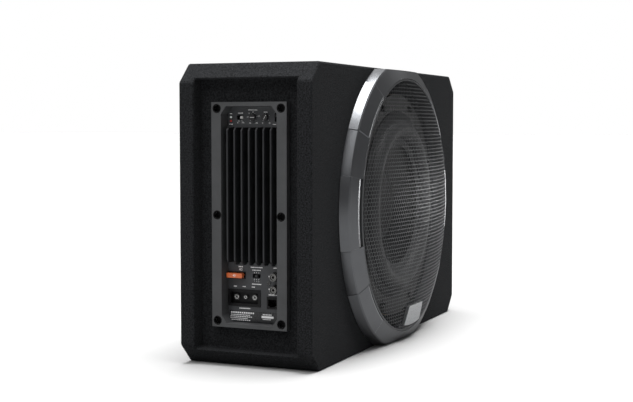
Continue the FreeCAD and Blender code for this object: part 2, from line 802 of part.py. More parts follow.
def amp_plate():
    """Moulded frame: face, skirt, screw bosses and the tub round the opening."""
    back = RECESS - AMP_GASKET
    y = PLATE_HALF_Y
    frame = box(end_x(PLATE_E), end_x(back), -y, y, PLATE_LOW, PLATE_HIGH)
    skirt = PLATE_SKIRT
    pocket = box(end_x(PLATE_E + PLATE_FACE_T), end_x(back), skirt - y, y - skirt,
                 PLATE_LOW + skirt, PLATE_HIGH - skirt)
    frame = frame.cut(pocket)
    frame = frame.fuse(prism_x(opening_outline(TUB_T), PLATE_E, TUB_E))
    for sign in (-1, 1):
        for z in SCREW_Z:
            frame = frame.fuse(rod_x(PLATE_E, back, sign * SCREW_Y, z, SCREW_BOSS_R))
    frame = frame.common(box(end_x(PLATE_E), end_x(TUB_E), -y, y, PLATE_LOW, PLATE_HIGH))
    frame = frame.cut(prism_x(opening_outline(0), 0, TUB_E))
    frame = amp_screw_holes(frame, SCREW_SHANK_R + FIT)
    for sign in (-1, 1):
        for z in SCREW_Z:
            recess_end = SCREW_HEAD_E + SCREW_HEAD_T
            frame = frame.cut(rod_x(0, recess_end, sign * SCREW_Y, z, SCREW_RECESS_R))
    return frame.removeSplitter()


def crossed(shape, face_e, y, z, reach):
    """Cut a cross recess into a screw head that faces out of the end."""
    for half_y, half_z in ((reach, CROSS_W / 2), (CROSS_W / 2, reach)):
        shape = shape.cut(centred_box(face_e - OVERCUT, face_e + CROSS_D, y, half_y, z, half_z))
    return shape


def amp_screws():
    screws = []
    for y in (-SCREW_Y, SCREW_Y):
        for z in SCREW_Z:
            head = rod_x(SCREW_HEAD_E, SCREW_HEAD_E + SCREW_HEAD_T, y, z, SCREW_RECESS_R - FIT * 3)
            head = head.fuse(rod_x(SCREW_HEAD_E, SCREW_END_E, y, z, SCREW_SHANK_R))
            screws.append(crossed(head, SCREW_HEAD_E, y, z, SCREW_SHANK_R))
    return Part.makeCompound(screws)


def heat_sink():
    """Extruded aluminium sink: a base and seven fins with angled noses."""
    half_base = OPEN_HALF_Y - FIT * 2
    sink = box(end_x(TUB_E), end_x(TUB_E + SINK_BASE_T), -half_base, half_base, FIN_LOW, FIN_HIGH)
    tip = end_x(PLATE_E)
    for index in range(FINS):
        y = (index - (FINS - 1) / 2) * FIN_PITCH - FIN_T / 2
        side = [
            Vector(end_x(TUB_E), y, FIN_LOW), Vector(tip + FIN_NOSE, y, FIN_LOW),
            Vector(tip, y, FIN_LOW + FIN_NOSE), Vector(tip, y, FIN_HIGH - FIN_NOSE),
            Vector(tip + FIN_NOSE, y, FIN_HIGH), Vector(end_x(TUB_E), y, FIN_HIGH),
        ]
        fin = Part.Face(Part.makePolygon(side + side[:1])).extrude(Vector(0, FIN_T, 0))
        sink = sink.fuse(fin)
    return sink.removeSplitter()


def panel_slice(z0, z1, return_z0, return_z1):
    """A panel that fills part of the opening, with a return wall beside the fins."""
    outline = prism_x(opening_outline(-FIT), PANEL_E, PANEL_E + PANEL_T)
    panel = outline.common(box(-WIDTH, 0, -DEPTH, DEPTH, z0, z1))
    half = OPEN_HALF_Y - FIT
    wall = box(end_x(PANEL_E), end_x(TUB_E), -half, half, return_z0, return_z1)
    return panel.fuse(wall)


def scalloped(panel, edge_z, radius):
    """Round hollows in a panel's edge, one at the end of each gap between fins."""
    for index in range(FINS - 1):
        y = (index - (FINS - 2) / 2) * FIN_PITCH
        panel = panel.cut(rod_x(PANEL_E - OVERCUT, TUB_E, y, edge_z, radius))
    return panel


def window_x(y, z, half_y, half_z):
    return centred_box(0, TUB_E, y, half_y, z, half_z)


def control_panel():
    low = FIN_HIGH + FIT
    panel = panel_slice(low, OPEN_HIGH, low, low + PANEL_RETURN)
    for z in LIGHT_Z:
        panel = panel.cut(rod_x(0, TUB_E, LIGHT_Y, z, LIGHT_R + FIT))
    panel = panel.cut(window_x(PHASE_Y, CONTROL_Z, SWITCH_W / 2, SWITCH_H / 2))
    panel = panel.cut(window_x(LEVEL_Y, CONTROL_Z, LEVEL_W / 2, LEVEL_H / 2))
    for y in (CROSSOVER_Y, GAIN_Y):
        panel = panel.cut(rod_x(0, TUB_E, y, CONTROL_Z, KNOB_SHAFT_R + FIT * 3))
    return panel


def connector_panel():
    high = FIN_LOW - FIT
    panel = panel_slice(OPEN_LOW, high, high - PANEL_RETURN - SCALLOP_LAND, high)
    panel = scalloped(panel, high, (FIN_PITCH - FIN_T) / 2)
    holder_y = HOLDER_W / 2 - HOLDER_LIP
    holder_z = HOLDER_H / 2 - HOLDER_LIP
    panel = panel.cut(window_x(FUSE_Y, FUSE_Z, holder_y, holder_z))
    panel = panel.cut(window_x(MODE_Y, MODE_Z, MODE_W / 2, MODE_H / 2))
    for z in JACK_Z:
        panel = panel.cut(rod_x(0, TUB_E, JACK_Y, z, JACK_COLLAR_R + FIT))
    panel = panel.cut(rod_x(0, TUB_E, INPUT_SCREW_Y, INPUT_SCREW_Z, INPUT_SHANK_R + FIT))
    panel = panel.cut(window_x(REMOTE_Y, REMOTE_Z, REMOTE_HALF + FIT, REMOTE_HALF + FIT))
    middle_y = (TERMINAL_Y0 + TERMINAL_Y1) / 2
    middle_z = (TERMINAL_LOW + TERMINAL_HIGH) / 2
    half_y = (TERMINAL_Y1 - TERMINAL_Y0) / 2 - TERMINAL_WALL
    half_z = (TERMINAL_HIGH - TERMINAL_LOW) / 2 - TERMINAL_WALL
    return panel.cut(window_x(middle_y, middle_z, half_y, half_z))


def status_lights():
    lenses = []
    for z in LIGHT_Z:
        lenses.append(rod_x(PANEL_E - LIGHT_R / 2, PANEL_E + LIGHT_STEM, LIGHT_Y, z, LIGHT_R))
    return Part.makeCompound(lenses)


def switch_cell(y, z, width, height):
    """Body of a slide switch: an open-fronted cup behind a window in the panel."""
    back = PANEL_E + PANEL_T
    cell = centred_box(back, back + SWITCH_DEEP, y, width / 2 + SWITCH_RIM, z, height / 2 + SWITCH_RIM)
    cavity = centred_box(back, back + SWITCH_DEEP - SWITCH_FLOOR, y, width / 2, z, height / 2)
    return cell.cut(cavity)


def switch_bodies():
    return Part.makeCompound([
        switch_cell(PHASE_Y, CONTROL_Z, SWITCH_W, SWITCH_H),
        switch_cell(MODE_Y, MODE_Z, MODE_W, MODE_H),
        switch_cell(LEVEL_Y, CONTROL_Z, LEVEL_W, LEVEL_H),
    ])


def switch_lever(y, z, width, height, half_y, half_z):
    """Lever with a finger block in front and a slider inside the cup."""
    floor = PANEL_E + PANEL_T + SWITCH_DEEP - SWITCH_FLOOR - SLIDER_GAP
    front = PANEL_E - LEVER_PROUD
    block = centred_box(front, floor, y, width / 2, z, height / 2)
    slider = centred_box(PANEL_E + PANEL_T + SLIDER_INSET, floor, y, half_y, z, half_z)
    return block.fuse(slider)


def phase_switch_lever():
    half_z = SWITCH_H / 2 - SLIDER_GAP
    return switch_lever(PHASE_Y + PHASE_REST, CONTROL_Z, LEVER_W, LEVER_H, LEVER_W / 2, half_z)


def mode_switch_lever():
    half_z = MODE_H / 2 - SLIDER_GAP
    return switch_lever(MODE_Y, MODE_Z, LEVER_W, LEVER_H, LEVER_W / 2, half_z)


def level_switch_lever():
    half_y = LEVEL_W / 2 - SLIDER_GAP
    z = CONTROL_Z + LEVEL_REST
    return switch_lever(LEVEL_Y, z, LEVEL_LEVER_W, LEVEL_LEVER_H, half_y, LEVEL_LEVER_H / 2)


def control_pots():
    """Potentiometer bodies with the bores that their shafts turn in."""
    bodies = []
    for y in (CROSSOVER_Y, GAIN_Y):
        front = PANEL_E + PANEL_T + FIT
        body = centred_box(front, KNOB_SHAFT_END_E + POT_BACK, y, POT_HALF, CONTROL_Z, POT_HALF)
        bore = rod_x(PANEL_E, KNOB_SHAFT_END_E + FIT, y, CONTROL_Z, KNOB_SHAFT_R + SHAFT_CLEAR)
        bodies.append(body.cut(bore))
    return Part.makeCompound(bodies)


def knob(y, slot_deg):
    """Slotted trimmer knob and its shaft in one piece."""
    face = PANEL_E - KNOB_FACE_GAP
    shape = rod_x(KNOB_E, face, y, CONTROL_Z, KNOB_R)
    shape = shape.fuse(rod_x(KNOB_E, KNOB_SHAFT_END_E, y, CONTROL_Z, KNOB_SHAFT_R))
    half_slot = KNOB_R - KNOB_SLOT_LAND
    slot = centred_box(KNOB_E - OVERCUT, KNOB_E + KNOB_SLOT_D, y, half_slot, CONTROL_Z, KNOB_SLOT_W / 2)
    slot.rotate(Vector(0, y, CONTROL_Z), Vector(1, 0, 0), slot_deg)
    return shape.cut(slot)


def crossover_knob():
    return knob(CROSSOVER_Y, 0.0)


def gain_knob():
    return knob(GAIN_Y, GAIN_SLOT_DEG)


def fuse_holder():
    rim = centred_box(PANEL_E - HOLDER_RIM, PANEL_E, FUSE_Y, HOLDER_W / 2, FUSE_Z, HOLDER_H / 2)
    inset = HOLDER_LIP + FIT
    core = centred_box(PANEL_E, HOLDER_END_E, FUSE_Y, HOLDER_W / 2 - inset, FUSE_Z, HOLDER_H / 2 - inset)
    holder = rim.fuse(core)
    half_w = FUSE_W / 2 + FUSE_CLEAR
    half_h = FUSE_H / 2 + FUSE_CLEAR
    holder = holder.cut(centred_box(0, HOLDER_FLOOR_E, FUSE_Y, half_w, FUSE_Z, half_h))
    for sign in (-1, 1):
        y = FUSE_Y + sign * FUSE_BLADE_PITCH / 2
        half_slot_w = FUSE_BLADE_W / 2 + BLADE_CLEAR
        half_slot_h = FUSE_BLADE_T / 2 + BLADE_CLEAR
        end = FUSE_BLADE_END_E + OVERCUT
        holder = holder.cut(centred_box(0, end, y, half_slot_w, FUSE_Z, half_slot_h))
    return holder


def blade_fuse():
    """Blade fuse: a plastic body with two side notches, and two flat blades."""
    waist_e = FUSE_E + FUSE_CAP
    cap = centred_box(FUSE_E, waist_e, FUSE_Y, FUSE_W / 2, FUSE_Z, FUSE_H / 2)
    waist = centred_box(waist_e, FUSE_BODY_END_E, FUSE_Y, FUSE_W / 2 - FUSE_NOTCH, FUSE_Z, FUSE_H / 2)
    fuse = cap.fuse(waist)
    for sign in (-1, 1):
        y = FUSE_Y + sign * FUSE_BLADE_PITCH / 2
        root = FUSE_BODY_END_E - FUSE_BLADE_ROOT
        blade = centred_box(root, FUSE_BLADE_END_E, y, FUSE_BLADE_W / 2, FUSE_Z, FUSE_BLADE_T / 2)
        fuse = fuse.fuse(blade)
    return fuse


def input_block():
    """Moulded body of the twin phono socket, with a collar round each jack."""
    back = PANEL_E + PANEL_T + FIT
    middle_z = (INPUT_LOW + INPUT_HIGH) / 2
    half_z = (INPUT_HIGH - INPUT_LOW) / 2
    block = centred_box(back, INPUT_END_E, JACK_Y, INPUT_HALF_Y, middle_z, half_z)
    for z in JACK_Z:
        block = block.fuse(rod_x(JACK_COLLAR_E, back, JACK_Y, z, JACK_COLLAR_R))
        block = block.cut(rod_x(0, back + JACK_ROOT, JACK_Y, z, JACK_ROOT_R))
    lug_end = back + INPUT_LUG_T
    lug = centred_box(back, lug_end, INPUT_SCREW_Y, INPUT_LUG_HALF_Y, INPUT_SCREW_Z, INPUT_LUG_HALF_Z)
    block = block.fuse(lug)
    return block.cut(rod_x(0, lug_end, INPUT_SCREW_Y, INPUT_SCREW_Z, INPUT_SHANK_R))


def input_jacks():
    """Metal shells of the two jacks, each with its insulator and contact bore."""
    shells = []
    end = PANEL_E + PANEL_T + JACK_ROOT
    floor = end - JACK_FLOOR
    for z in JACK_Z:
        shell = rod_x(JACK_E, JACK_COLLAR_E, JACK_Y, z, JACK_R)
        shell = shell.fuse(rod_x(JACK_COLLAR_E, end, JACK_Y, z, JACK_ROOT_R))
        shell = shell.cut(rod_x(JACK_E, floor, JACK_Y, z, JACK_ROOT_R - JACK_WALL))
        insulator = rod_x(JACK_E + INSULATOR_INSET, end, JACK_Y, z, INSULATOR_R)
        insulator = insulator.cut(rod_x(JACK_E, floor, JACK_Y, z, JACK_PIN_BORE_R))
        shells.append(shell.fuse(insulator))
    return Part.makeCompound(shells)


def input_screw():
    face = PANEL_E - INPUT_HEAD_T
    shank_r = INPUT_SHANK_R - SHAFT_CLEAR
    screw = rod_x(face, PANEL_E, INPUT_SCREW_Y, INPUT_SCREW_Z, INPUT_SCREW_R)
    screw = screw.fuse(rod_x(face, PANEL_E + INPUT_SHANK, INPUT_SCREW_Y, INPUT_SCREW_Z, shank_r))
    return crossed(screw, face, INPUT_SCREW_Y, INPUT_SCREW_Z, INPUT_SCREW_R * CROSS_REACH)


def remote_socket():
    """Socket for the level control's modular plug, with its latch key way."""
    half = REMOTE_HALF
    body = centred_box(PANEL_E - REMOTE_PROUD, REMOTE_END_E, REMOTE_Y, half, REMOTE_Z, half)
    mouth = centred_box(0, REMOTE_FLOOR_E, REMOTE_Y, REMOTE_MOUTH_HALF_Y, REMOTE_Z, REMOTE_MOUTH_HALF_Z)
    key_z = REMOTE_Z - REMOTE_KEY_Z
    key = centred_box(0, REMOTE_FLOOR_E, REMOTE_Y, REMOTE_KEY_HALF_Y, key_z, REMOTE_MOUTH_HALF_Z)
    return body.cut(mouth).cut(key)


def terminal_block():
    """Power terminal block: a sloped surround and a well with three screw bores."""
    middle_y = (TERMINAL_Y0 + TERMINAL_Y1) / 2
    middle_z = (TERMINAL_LOW + TERMINAL_HIGH) / 2
    half_y = (TERMINAL_Y1 - TERMINAL_Y0) / 2
    half_z = (TERMINAL_HIGH - TERMINAL_LOW) / 2
    rim = centred_box(PANEL_E - TERMINAL_PROUD, PANEL_E, middle_y, half_y, middle_z, half_z)
    inset = TERMINAL_WALL + FIT
    core = centred_box(PANEL_E, TERMINAL_END_E, middle_y, half_y - inset, middle_z, half_z - inset)
    well_y = half_y - TERMINAL_RIM
    well_z = half_z - TERMINAL_RIM
    well = centred_box(0, TERMINAL_FLOOR_E, middle_y, well_y, middle_z, well_z)
    block = rim.fuse(core).cut(well)
    for name, y, radius in TERMINAL_SCREWS:
        bore = radius * TERMINAL_SHANK_RATIO + SHAFT_CLEAR
        block = block.cut(rod_x(0, TERMINAL_FLOOR_E + TERMINAL_SHANK + FIT, y, TERMINAL_Z, bore))
    return block


def terminal_screw(y, radius):
    face = TERMINAL_FLOOR_E - TERMINAL_HEAD_T - FIT
    screw = rod_x(face, TERMINAL_FLOOR_E - FIT, y, TERMINAL_Z, radius)
    shank_r = radius * TERMINAL_SHANK_RATIO
    screw = screw.fuse(rod_x(face, TERMINAL_FLOOR_E + TERMINAL_SHANK, y, TERMINAL_Z, shank_r))
    return crossed(screw, face, y, TERMINAL_Z, radius * CROSS_REACH)


def label_plate():
    middle = (LABEL_LOW + LABEL_HIGH) / 2
    half = (LABEL_HIGH - LABEL_LOW) / 2
    plate = centred_box(PANEL_E - LABEL_T, PANEL_E, 0, LABEL_HALF_Y, middle, half)
    return plate.common(prism_x(opening_outline(-FIT * 4), 0, TUB_E))


def circuit_board():
    half = OPEN_HALF_Y - BOARD_SIDE_GAP
    return box(end_x(BOARD_E), end_x(BOARD_E + BOARD_T), -half, half,
               OPEN_LOW + BOARD_MARGIN, OPEN_HIGH - BOARD_MARGIN)


def capacitors():
    front = BOARD_E + BOARD_T
    cans = []
    for y in (-CAPACITOR_Y, CAPACITOR_Y):
        for z in CAPACITOR_Z:
            cans.append(rod_x(front, front + CAPACITOR_LEN, y, z, CAPACITOR_R))
    return Part.makeCompound(cans)


def transformer():
    front = BOARD_E + BOARD_T
    core = rod_x(front, front + TOROID_T, 0, TOROID_Z, TOROID_R)
    return core.cut(rod_x(front, front + TOROID_T, 0, TOROID_Z, TOROID_BORE_R))


def power_transistors():
    back = TUB_E + SINK_BASE_T
    parts = []
    for y in (-TRANSISTOR_Y, TRANSISTOR_Y):
        for z in TRANSISTOR_Z:
            front = back + TRANSISTOR_T
            parts.append(centred_box(back, front, y, TRANSISTOR_W / 2, z, TRANSISTOR_H / 2))
    return Part.makeCompound(parts)


def amp_rear_cover():
    """Deep cover that seals the amplifier from the air in the box."""
    shell = prism_x(opening_outline(TUB_T), TUB_E, COVER_END_E)
    return shell.cut(prism_x(opening_outline(TUB_T - COVER_T), TUB_E, COVER_END_E - COVER_T))


PIECES = (
    front_baffle, back_board, top_board, bottom_board, amp_end_panel, far_end_panel,
    corner_cleats, wadding, carpet_wrap, carpet_bottom, recess_carpet,
    driver_gasket, driver_frame, driver_screws, surround, cone, dust_cap, coil_former,
    voice_coil, spider, top_plate, magnet, yoke, magnet_boot, driver_terminals, speaker_lead,
    halo_ring, grille, grille_badge,
    amp_gasket, amp_plate, amp_screws, heat_sink, control_panel, connector_panel,
    status_lights, switch_bodies, phase_switch_lever, mode_switch_lever, level_switch_lever,
    control_pots, crossover_knob, gain_knob, fuse_holder, blade_fuse,
    input_block, input_jacks, input_screw, remote_socket, terminal_block, label_plate,
    circuit_board, capacitors, transformer, power_transistors, amp_rear_cover,
)


def main():
    os.makedirs("parts", exist_ok=True)
    shapes = {}
    for piece in PIECES:
        shapes[piece.__name__] = piece()
    for name, y, radius in TERMINAL_SCREWS:
        shapes[name] = terminal_screw(y, radius)
    for name, shape in shapes.items():
        if not shape.isValid():
            print("invalid", name)
        shape.exportStep("parts/" + name + ".step")
        size = shape.BoundBox
        print(name, len(shape.Solids), round(shape.Volume, 1),
              [round(v, 2) for v in (size.XMin, size.XMax, size.YMin, size.YMax, size.ZMin, size.ZMax)])


main()
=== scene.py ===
"""Looks of a powered car subwoofer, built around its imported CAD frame. Metres, +Z up."""
import math

import bmesh
import bpy
import numpy as np
from mathutils import Matrix, Vector


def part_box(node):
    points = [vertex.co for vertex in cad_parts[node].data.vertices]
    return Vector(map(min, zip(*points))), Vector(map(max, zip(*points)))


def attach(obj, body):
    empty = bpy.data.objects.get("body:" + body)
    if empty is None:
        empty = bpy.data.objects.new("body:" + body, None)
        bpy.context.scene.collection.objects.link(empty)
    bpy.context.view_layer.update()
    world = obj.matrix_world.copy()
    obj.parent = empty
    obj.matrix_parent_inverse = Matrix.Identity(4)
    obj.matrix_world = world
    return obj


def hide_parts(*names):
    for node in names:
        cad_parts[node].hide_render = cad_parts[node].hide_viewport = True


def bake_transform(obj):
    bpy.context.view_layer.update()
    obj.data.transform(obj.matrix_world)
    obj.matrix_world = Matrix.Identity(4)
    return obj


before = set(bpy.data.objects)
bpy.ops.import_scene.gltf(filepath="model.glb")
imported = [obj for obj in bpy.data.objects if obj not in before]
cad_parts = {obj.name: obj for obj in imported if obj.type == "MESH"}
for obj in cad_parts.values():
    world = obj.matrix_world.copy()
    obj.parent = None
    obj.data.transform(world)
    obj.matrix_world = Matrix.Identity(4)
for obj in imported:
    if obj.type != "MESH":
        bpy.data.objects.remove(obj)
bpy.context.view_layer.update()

MM = 0.001
FELT_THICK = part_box("carpet_bottom")[1].z
BOX_LOW, BOX_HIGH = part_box("carpet_wrap")
AXIS_Z = (BOX_LOW.z + BOX_HIGH.z) / 2
BAFFLE_Y = BOX_LOW.y
PANEL_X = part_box("connector_panel")[0].x
PLATE_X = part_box("amp_plate")[0].x


# ---- Materials ---------------------------------------------------------------
def shader(name, color, rough, metal=0.0, **inputs):
    """A material with one Principled shader; inputs name its other sockets."""
    material = bpy.data.materials.new(name)
    material.use_nodes = True
    tree = material.node_tree
    bsdf = tree.nodes["Principled BSDF"]
    bsdf.inputs["Base Color"].default_value = (*color, 1.0)
    bsdf.inputs["Roughness"].default_value = rough
    bsdf.inputs["Metallic"].default_value = metal
    for socket, value in inputs.items():
        bsdf.inputs[socket.replace("_", " ")].default_value = value
    material.diffuse_color = (*color, 1.0)
    return material, tree, bsdf


def noise(tree, scale, detail=3.0, stretch=(1.0, 1.0, 1.0)):
    """Noise in object space; scale is cells per metre, stretch is per axis."""
    coords = tree.nodes.new("ShaderNodeTexCoord")
    mapping = tree.nodes.new("ShaderNodeMapping")
    mapping.inputs["Scale"].default_value = stretch
    texture = tree.nodes.new("ShaderNodeTexNoise")
    texture.inputs["Scale"].default_value = scale
    texture.inputs["Detail"].default_value = detail
    tree.links.new(coords.outputs["Object"], mapping.inputs["Vector"])
    tree.links.new(mapping.outputs["Vector"], texture.inputs["Vector"])
    return texture.outputs["Fac"]


def ramp(tree, value, low, high, dark, light):
    """Colour from dark to light as value goes from low to high."""
    node = tree.nodes.new("ShaderNodeValToRGB")
    node.color_ramp.elements[0].position = low
    node.color_ramp.elements[1].position = high
    node.color_ramp.elements[0].color = (*dark, 1.0)
    node.color_ramp.elements[1].color = (*light, 1.0)
    tree.links.new(value, node.inputs["Fac"])
    return node.outputs["Color"]


def spread(tree, value, low, high, to_low, to_high):
    """Value mapped from low..high to to_low..to_high."""
    node = tree.nodes.new("ShaderNodeMapRange")
    for socket, number in (("From Min", low), ("From Max", high), ("To Min", to_low), ("To Max", to_high)):
        node.inputs[socket].default_value = number
    tree.links.new(value, node.inputs["Value"])
    return node.outputs["Result"]


def relief(tree, bsdf, layers):
    """Chained bumps; each layer is a height output, a strength and a depth in metres."""
    normal = None
    for height, strength, depth in layers:
        bump = tree.nodes.new("ShaderNodeBump")
        bump.inputs["Strength"].default_value = strength
        bump.inputs["Distance"].default_value = depth
        tree.links.new(height, bump.inputs["Height"])
        if normal is not None:
            tree.links.new(normal, bump.inputs["Normal"])
        normal = bump.outputs["Normal"]
    tree.links.new(normal, bsdf.inputs["Normal"])


def tone(color, factor):
    """The colour made darker or lighter by a factor."""
    return tuple(min(1.0, channel * factor) for channel in color)


def vary(tree, bsdf, value, low, high, color, dark, light):
    """Base colour from dark to light times a colour, as value goes from low to high."""
    tree.links.new(ramp(tree, value, low, high, tone(color, dark), tone(color, light)),
                   bsdf.inputs["Base Color"])


def grained(name, color, rough, metal=0.0, grain=1800.0, depth=0.06, swing=0.12, cloud=0.06, **inputs):
    """Moulded, cast or painted surface: fine grain, cloudy gloss and a little colour drift.

    grain is in cells per metre and depth in millimetres; swing and cloud are the drift of
    the colour and of the roughness.
    """
    material, tree, bsdf = shader(name, color, rough, metal, **inputs)
    drift = noise(tree, 35.0, 4.0)
    vary(tree, bsdf, drift, 0.35, 0.65, color, 1 - swing, 1 + swing)
    cloudy = noise(tree, 120.0, 5.0)
    tree.links.new(spread(tree, cloudy, 0.3, 0.7, rough - cloud, rough + cloud), bsdf.inputs["Roughness"])
    relief(tree, bsdf, [(noise(tree, grain, 2.0), 0.5, depth * MM)])
    return material


def brushed(name, color, rough, stretch, **inputs):
    """Metal with fine parallel scratches along one axis."""
    material, tree, bsdf = shader(name, color, rough, 1.0, **inputs)
    lines = noise(tree, 60.0, 6.0, stretch)
    tree.links.new(spread(tree, lines, 0.3, 0.7, rough - 0.1, rough + 0.12), bsdf.inputs["Roughness"])
    vary(tree, bsdf, lines, 0.3, 0.7, color, 0.86, 1.08)
    relief(tree, bsdf, [(lines, 0.3, 0.02 * MM)])
    return material


def felt(name, color):
    """Needled carpet: matted fibres, small tufts and pale stray fibres."""
    material, tree, bsdf = shader(name, color, 0.95, Sheen_Weight=0.015, Sheen_Roughness=0.5)
    bsdf.inputs["Sheen Tint"].default_value = (0.75, 0.78, 0.8, 1.0)
    bsdf.inputs["Specular IOR Level"].default_value = 0.1
    tufts = noise(tree, 620.0, 4.0)
    fibres = noise(tree, 2100.0, 3.0, (1.0, 0.5, 1.6))
    strands = tree.nodes.new("ShaderNodeMix")
    strands.data_type = "RGBA"
    strands.blend_type = "SCREEN"
    strands.inputs["Factor"].default_value = 0.75
    tree.links.new(ramp(tree, tufts, 0.34, 0.68, tone(color, 0.4), tone(color, 1.75)), strands.inputs["A"])
    tree.links.new(ramp(tree, fibres, 0.56, 0.74, (0.0, 0.0, 0.0), tone(color, 3.2)), strands.inputs["B"])
    tree.links.new(strands.outputs["Result"], bsdf.inputs["Base Color"])
    waves = noise(tree, 60.0, 3.0)
    relief(tree, bsdf, [(waves, 0.25, 1.0 * MM), (tufts, 0.8, 0.6 * MM), (fibres, 0.7, 0.4 * MM)])
    return material


def fibreboard(name, color):
    """Pressed board or raw wood with fine chips."""
    material, tree, bsdf = shader(name, color, 0.8)
    chips = noise(tree, 500.0, 6.0)
    vary(tree, bsdf, chips, 0.3, 0.7, color, 0.7, 1.25)
    relief(tree, bsdf, [(chips, 0.4, 0.2 * MM)])
    return material


def pulp(name, color):
    """Coated paper cone with short pressed fibres."""
    material, tree, bsdf = shader(name, color, 0.5, Coat_Weight=0.25, Coat_Roughness=0.35)
    fibres = noise(tree, 700.0, 6.0, (1.0, 1.0, 2.2))
    vary(tree, bsdf, fibres, 0.35, 0.7, color, 0.7, 1.5)
    relief(tree, bsdf, [(fibres, 0.6, 0.2 * MM)])
    return material


def banded(name, color, rough, metal, scale, direction):
    """Wound wire or layered cloth: regular ridges across one axis."""
    material, tree, bsdf = shader(name, color, rough, metal)
    coords = tree.nodes.new("ShaderNodeTexCoord")
    wave = tree.nodes.new("ShaderNodeTexWave")
    wave.bands_direction = direction
    wave.inputs["Scale"].default_value = scale
    wave.inputs["Distortion"].default_value = 0.6
    tree.links.new(coords.outputs["Object"], wave.inputs["Vector"])
    vary(tree, bsdf, wave.outputs["Fac"], 0.2, 0.8, color, 0.6, 1.2)
    relief(tree, bsdf, [(wave.outputs["Fac"], 0.6, 0.3 * MM)])
    return material


def circuit(name, color):
    """Solder mask over a mesh of copper tracks."""
    material, tree, bsdf = shader(name, color, 0.35, Coat_Weight=0.4)
    coords = tree.nodes.new("ShaderNodeTexCoord")
    cells = tree.nodes.new("ShaderNodeTexVoronoi")
    cells.feature = "DISTANCE_TO_EDGE"
    cells.inputs["Scale"].default_value = 180.0
    tree.links.new(coords.outputs["Object"], cells.inputs["Vector"])
    vary(tree, bsdf, cells.outputs["Distance"], 0.03, 0.08, color, 1.9, 1.0)
    relief(tree, bsdf, [(cells.outputs["Distance"], 0.3, 0.05 * MM)])
    return material


def lens(name, color, glow):
    """Status light with a faint glow."""
    material, tree, bsdf = shader(name, color, 0.25, Coat_Weight=0.5)
    bsdf.inputs["Emission Color"].default_value = (*color, 1.0)
    bsdf.inputs["Emission Strength"].default_value = glow
    relief(tree, bsdf, [(noise(tree, 2500.0, 2.0), 0.2, 0.03 * MM)])
    return material


def tinted_plastic(name, color):
    """Fuse plastic that lets a little light through, glossy with faint flow marks."""
    material, tree, bsdf = shader(name, color, 0.28, Transmission_Weight=0.12, IOR=1.49, Coat_Weight=0.3)
    flow = noise(tree, 300.0, 4.0, (1.0, 0.4, 1.0))
    vary(tree, bsdf, flow, 0.3, 0.7, color, 0.8, 1.15)
    relief(tree, bsdf, [(flow, 0.15, 0.08 * MM)])
    return material


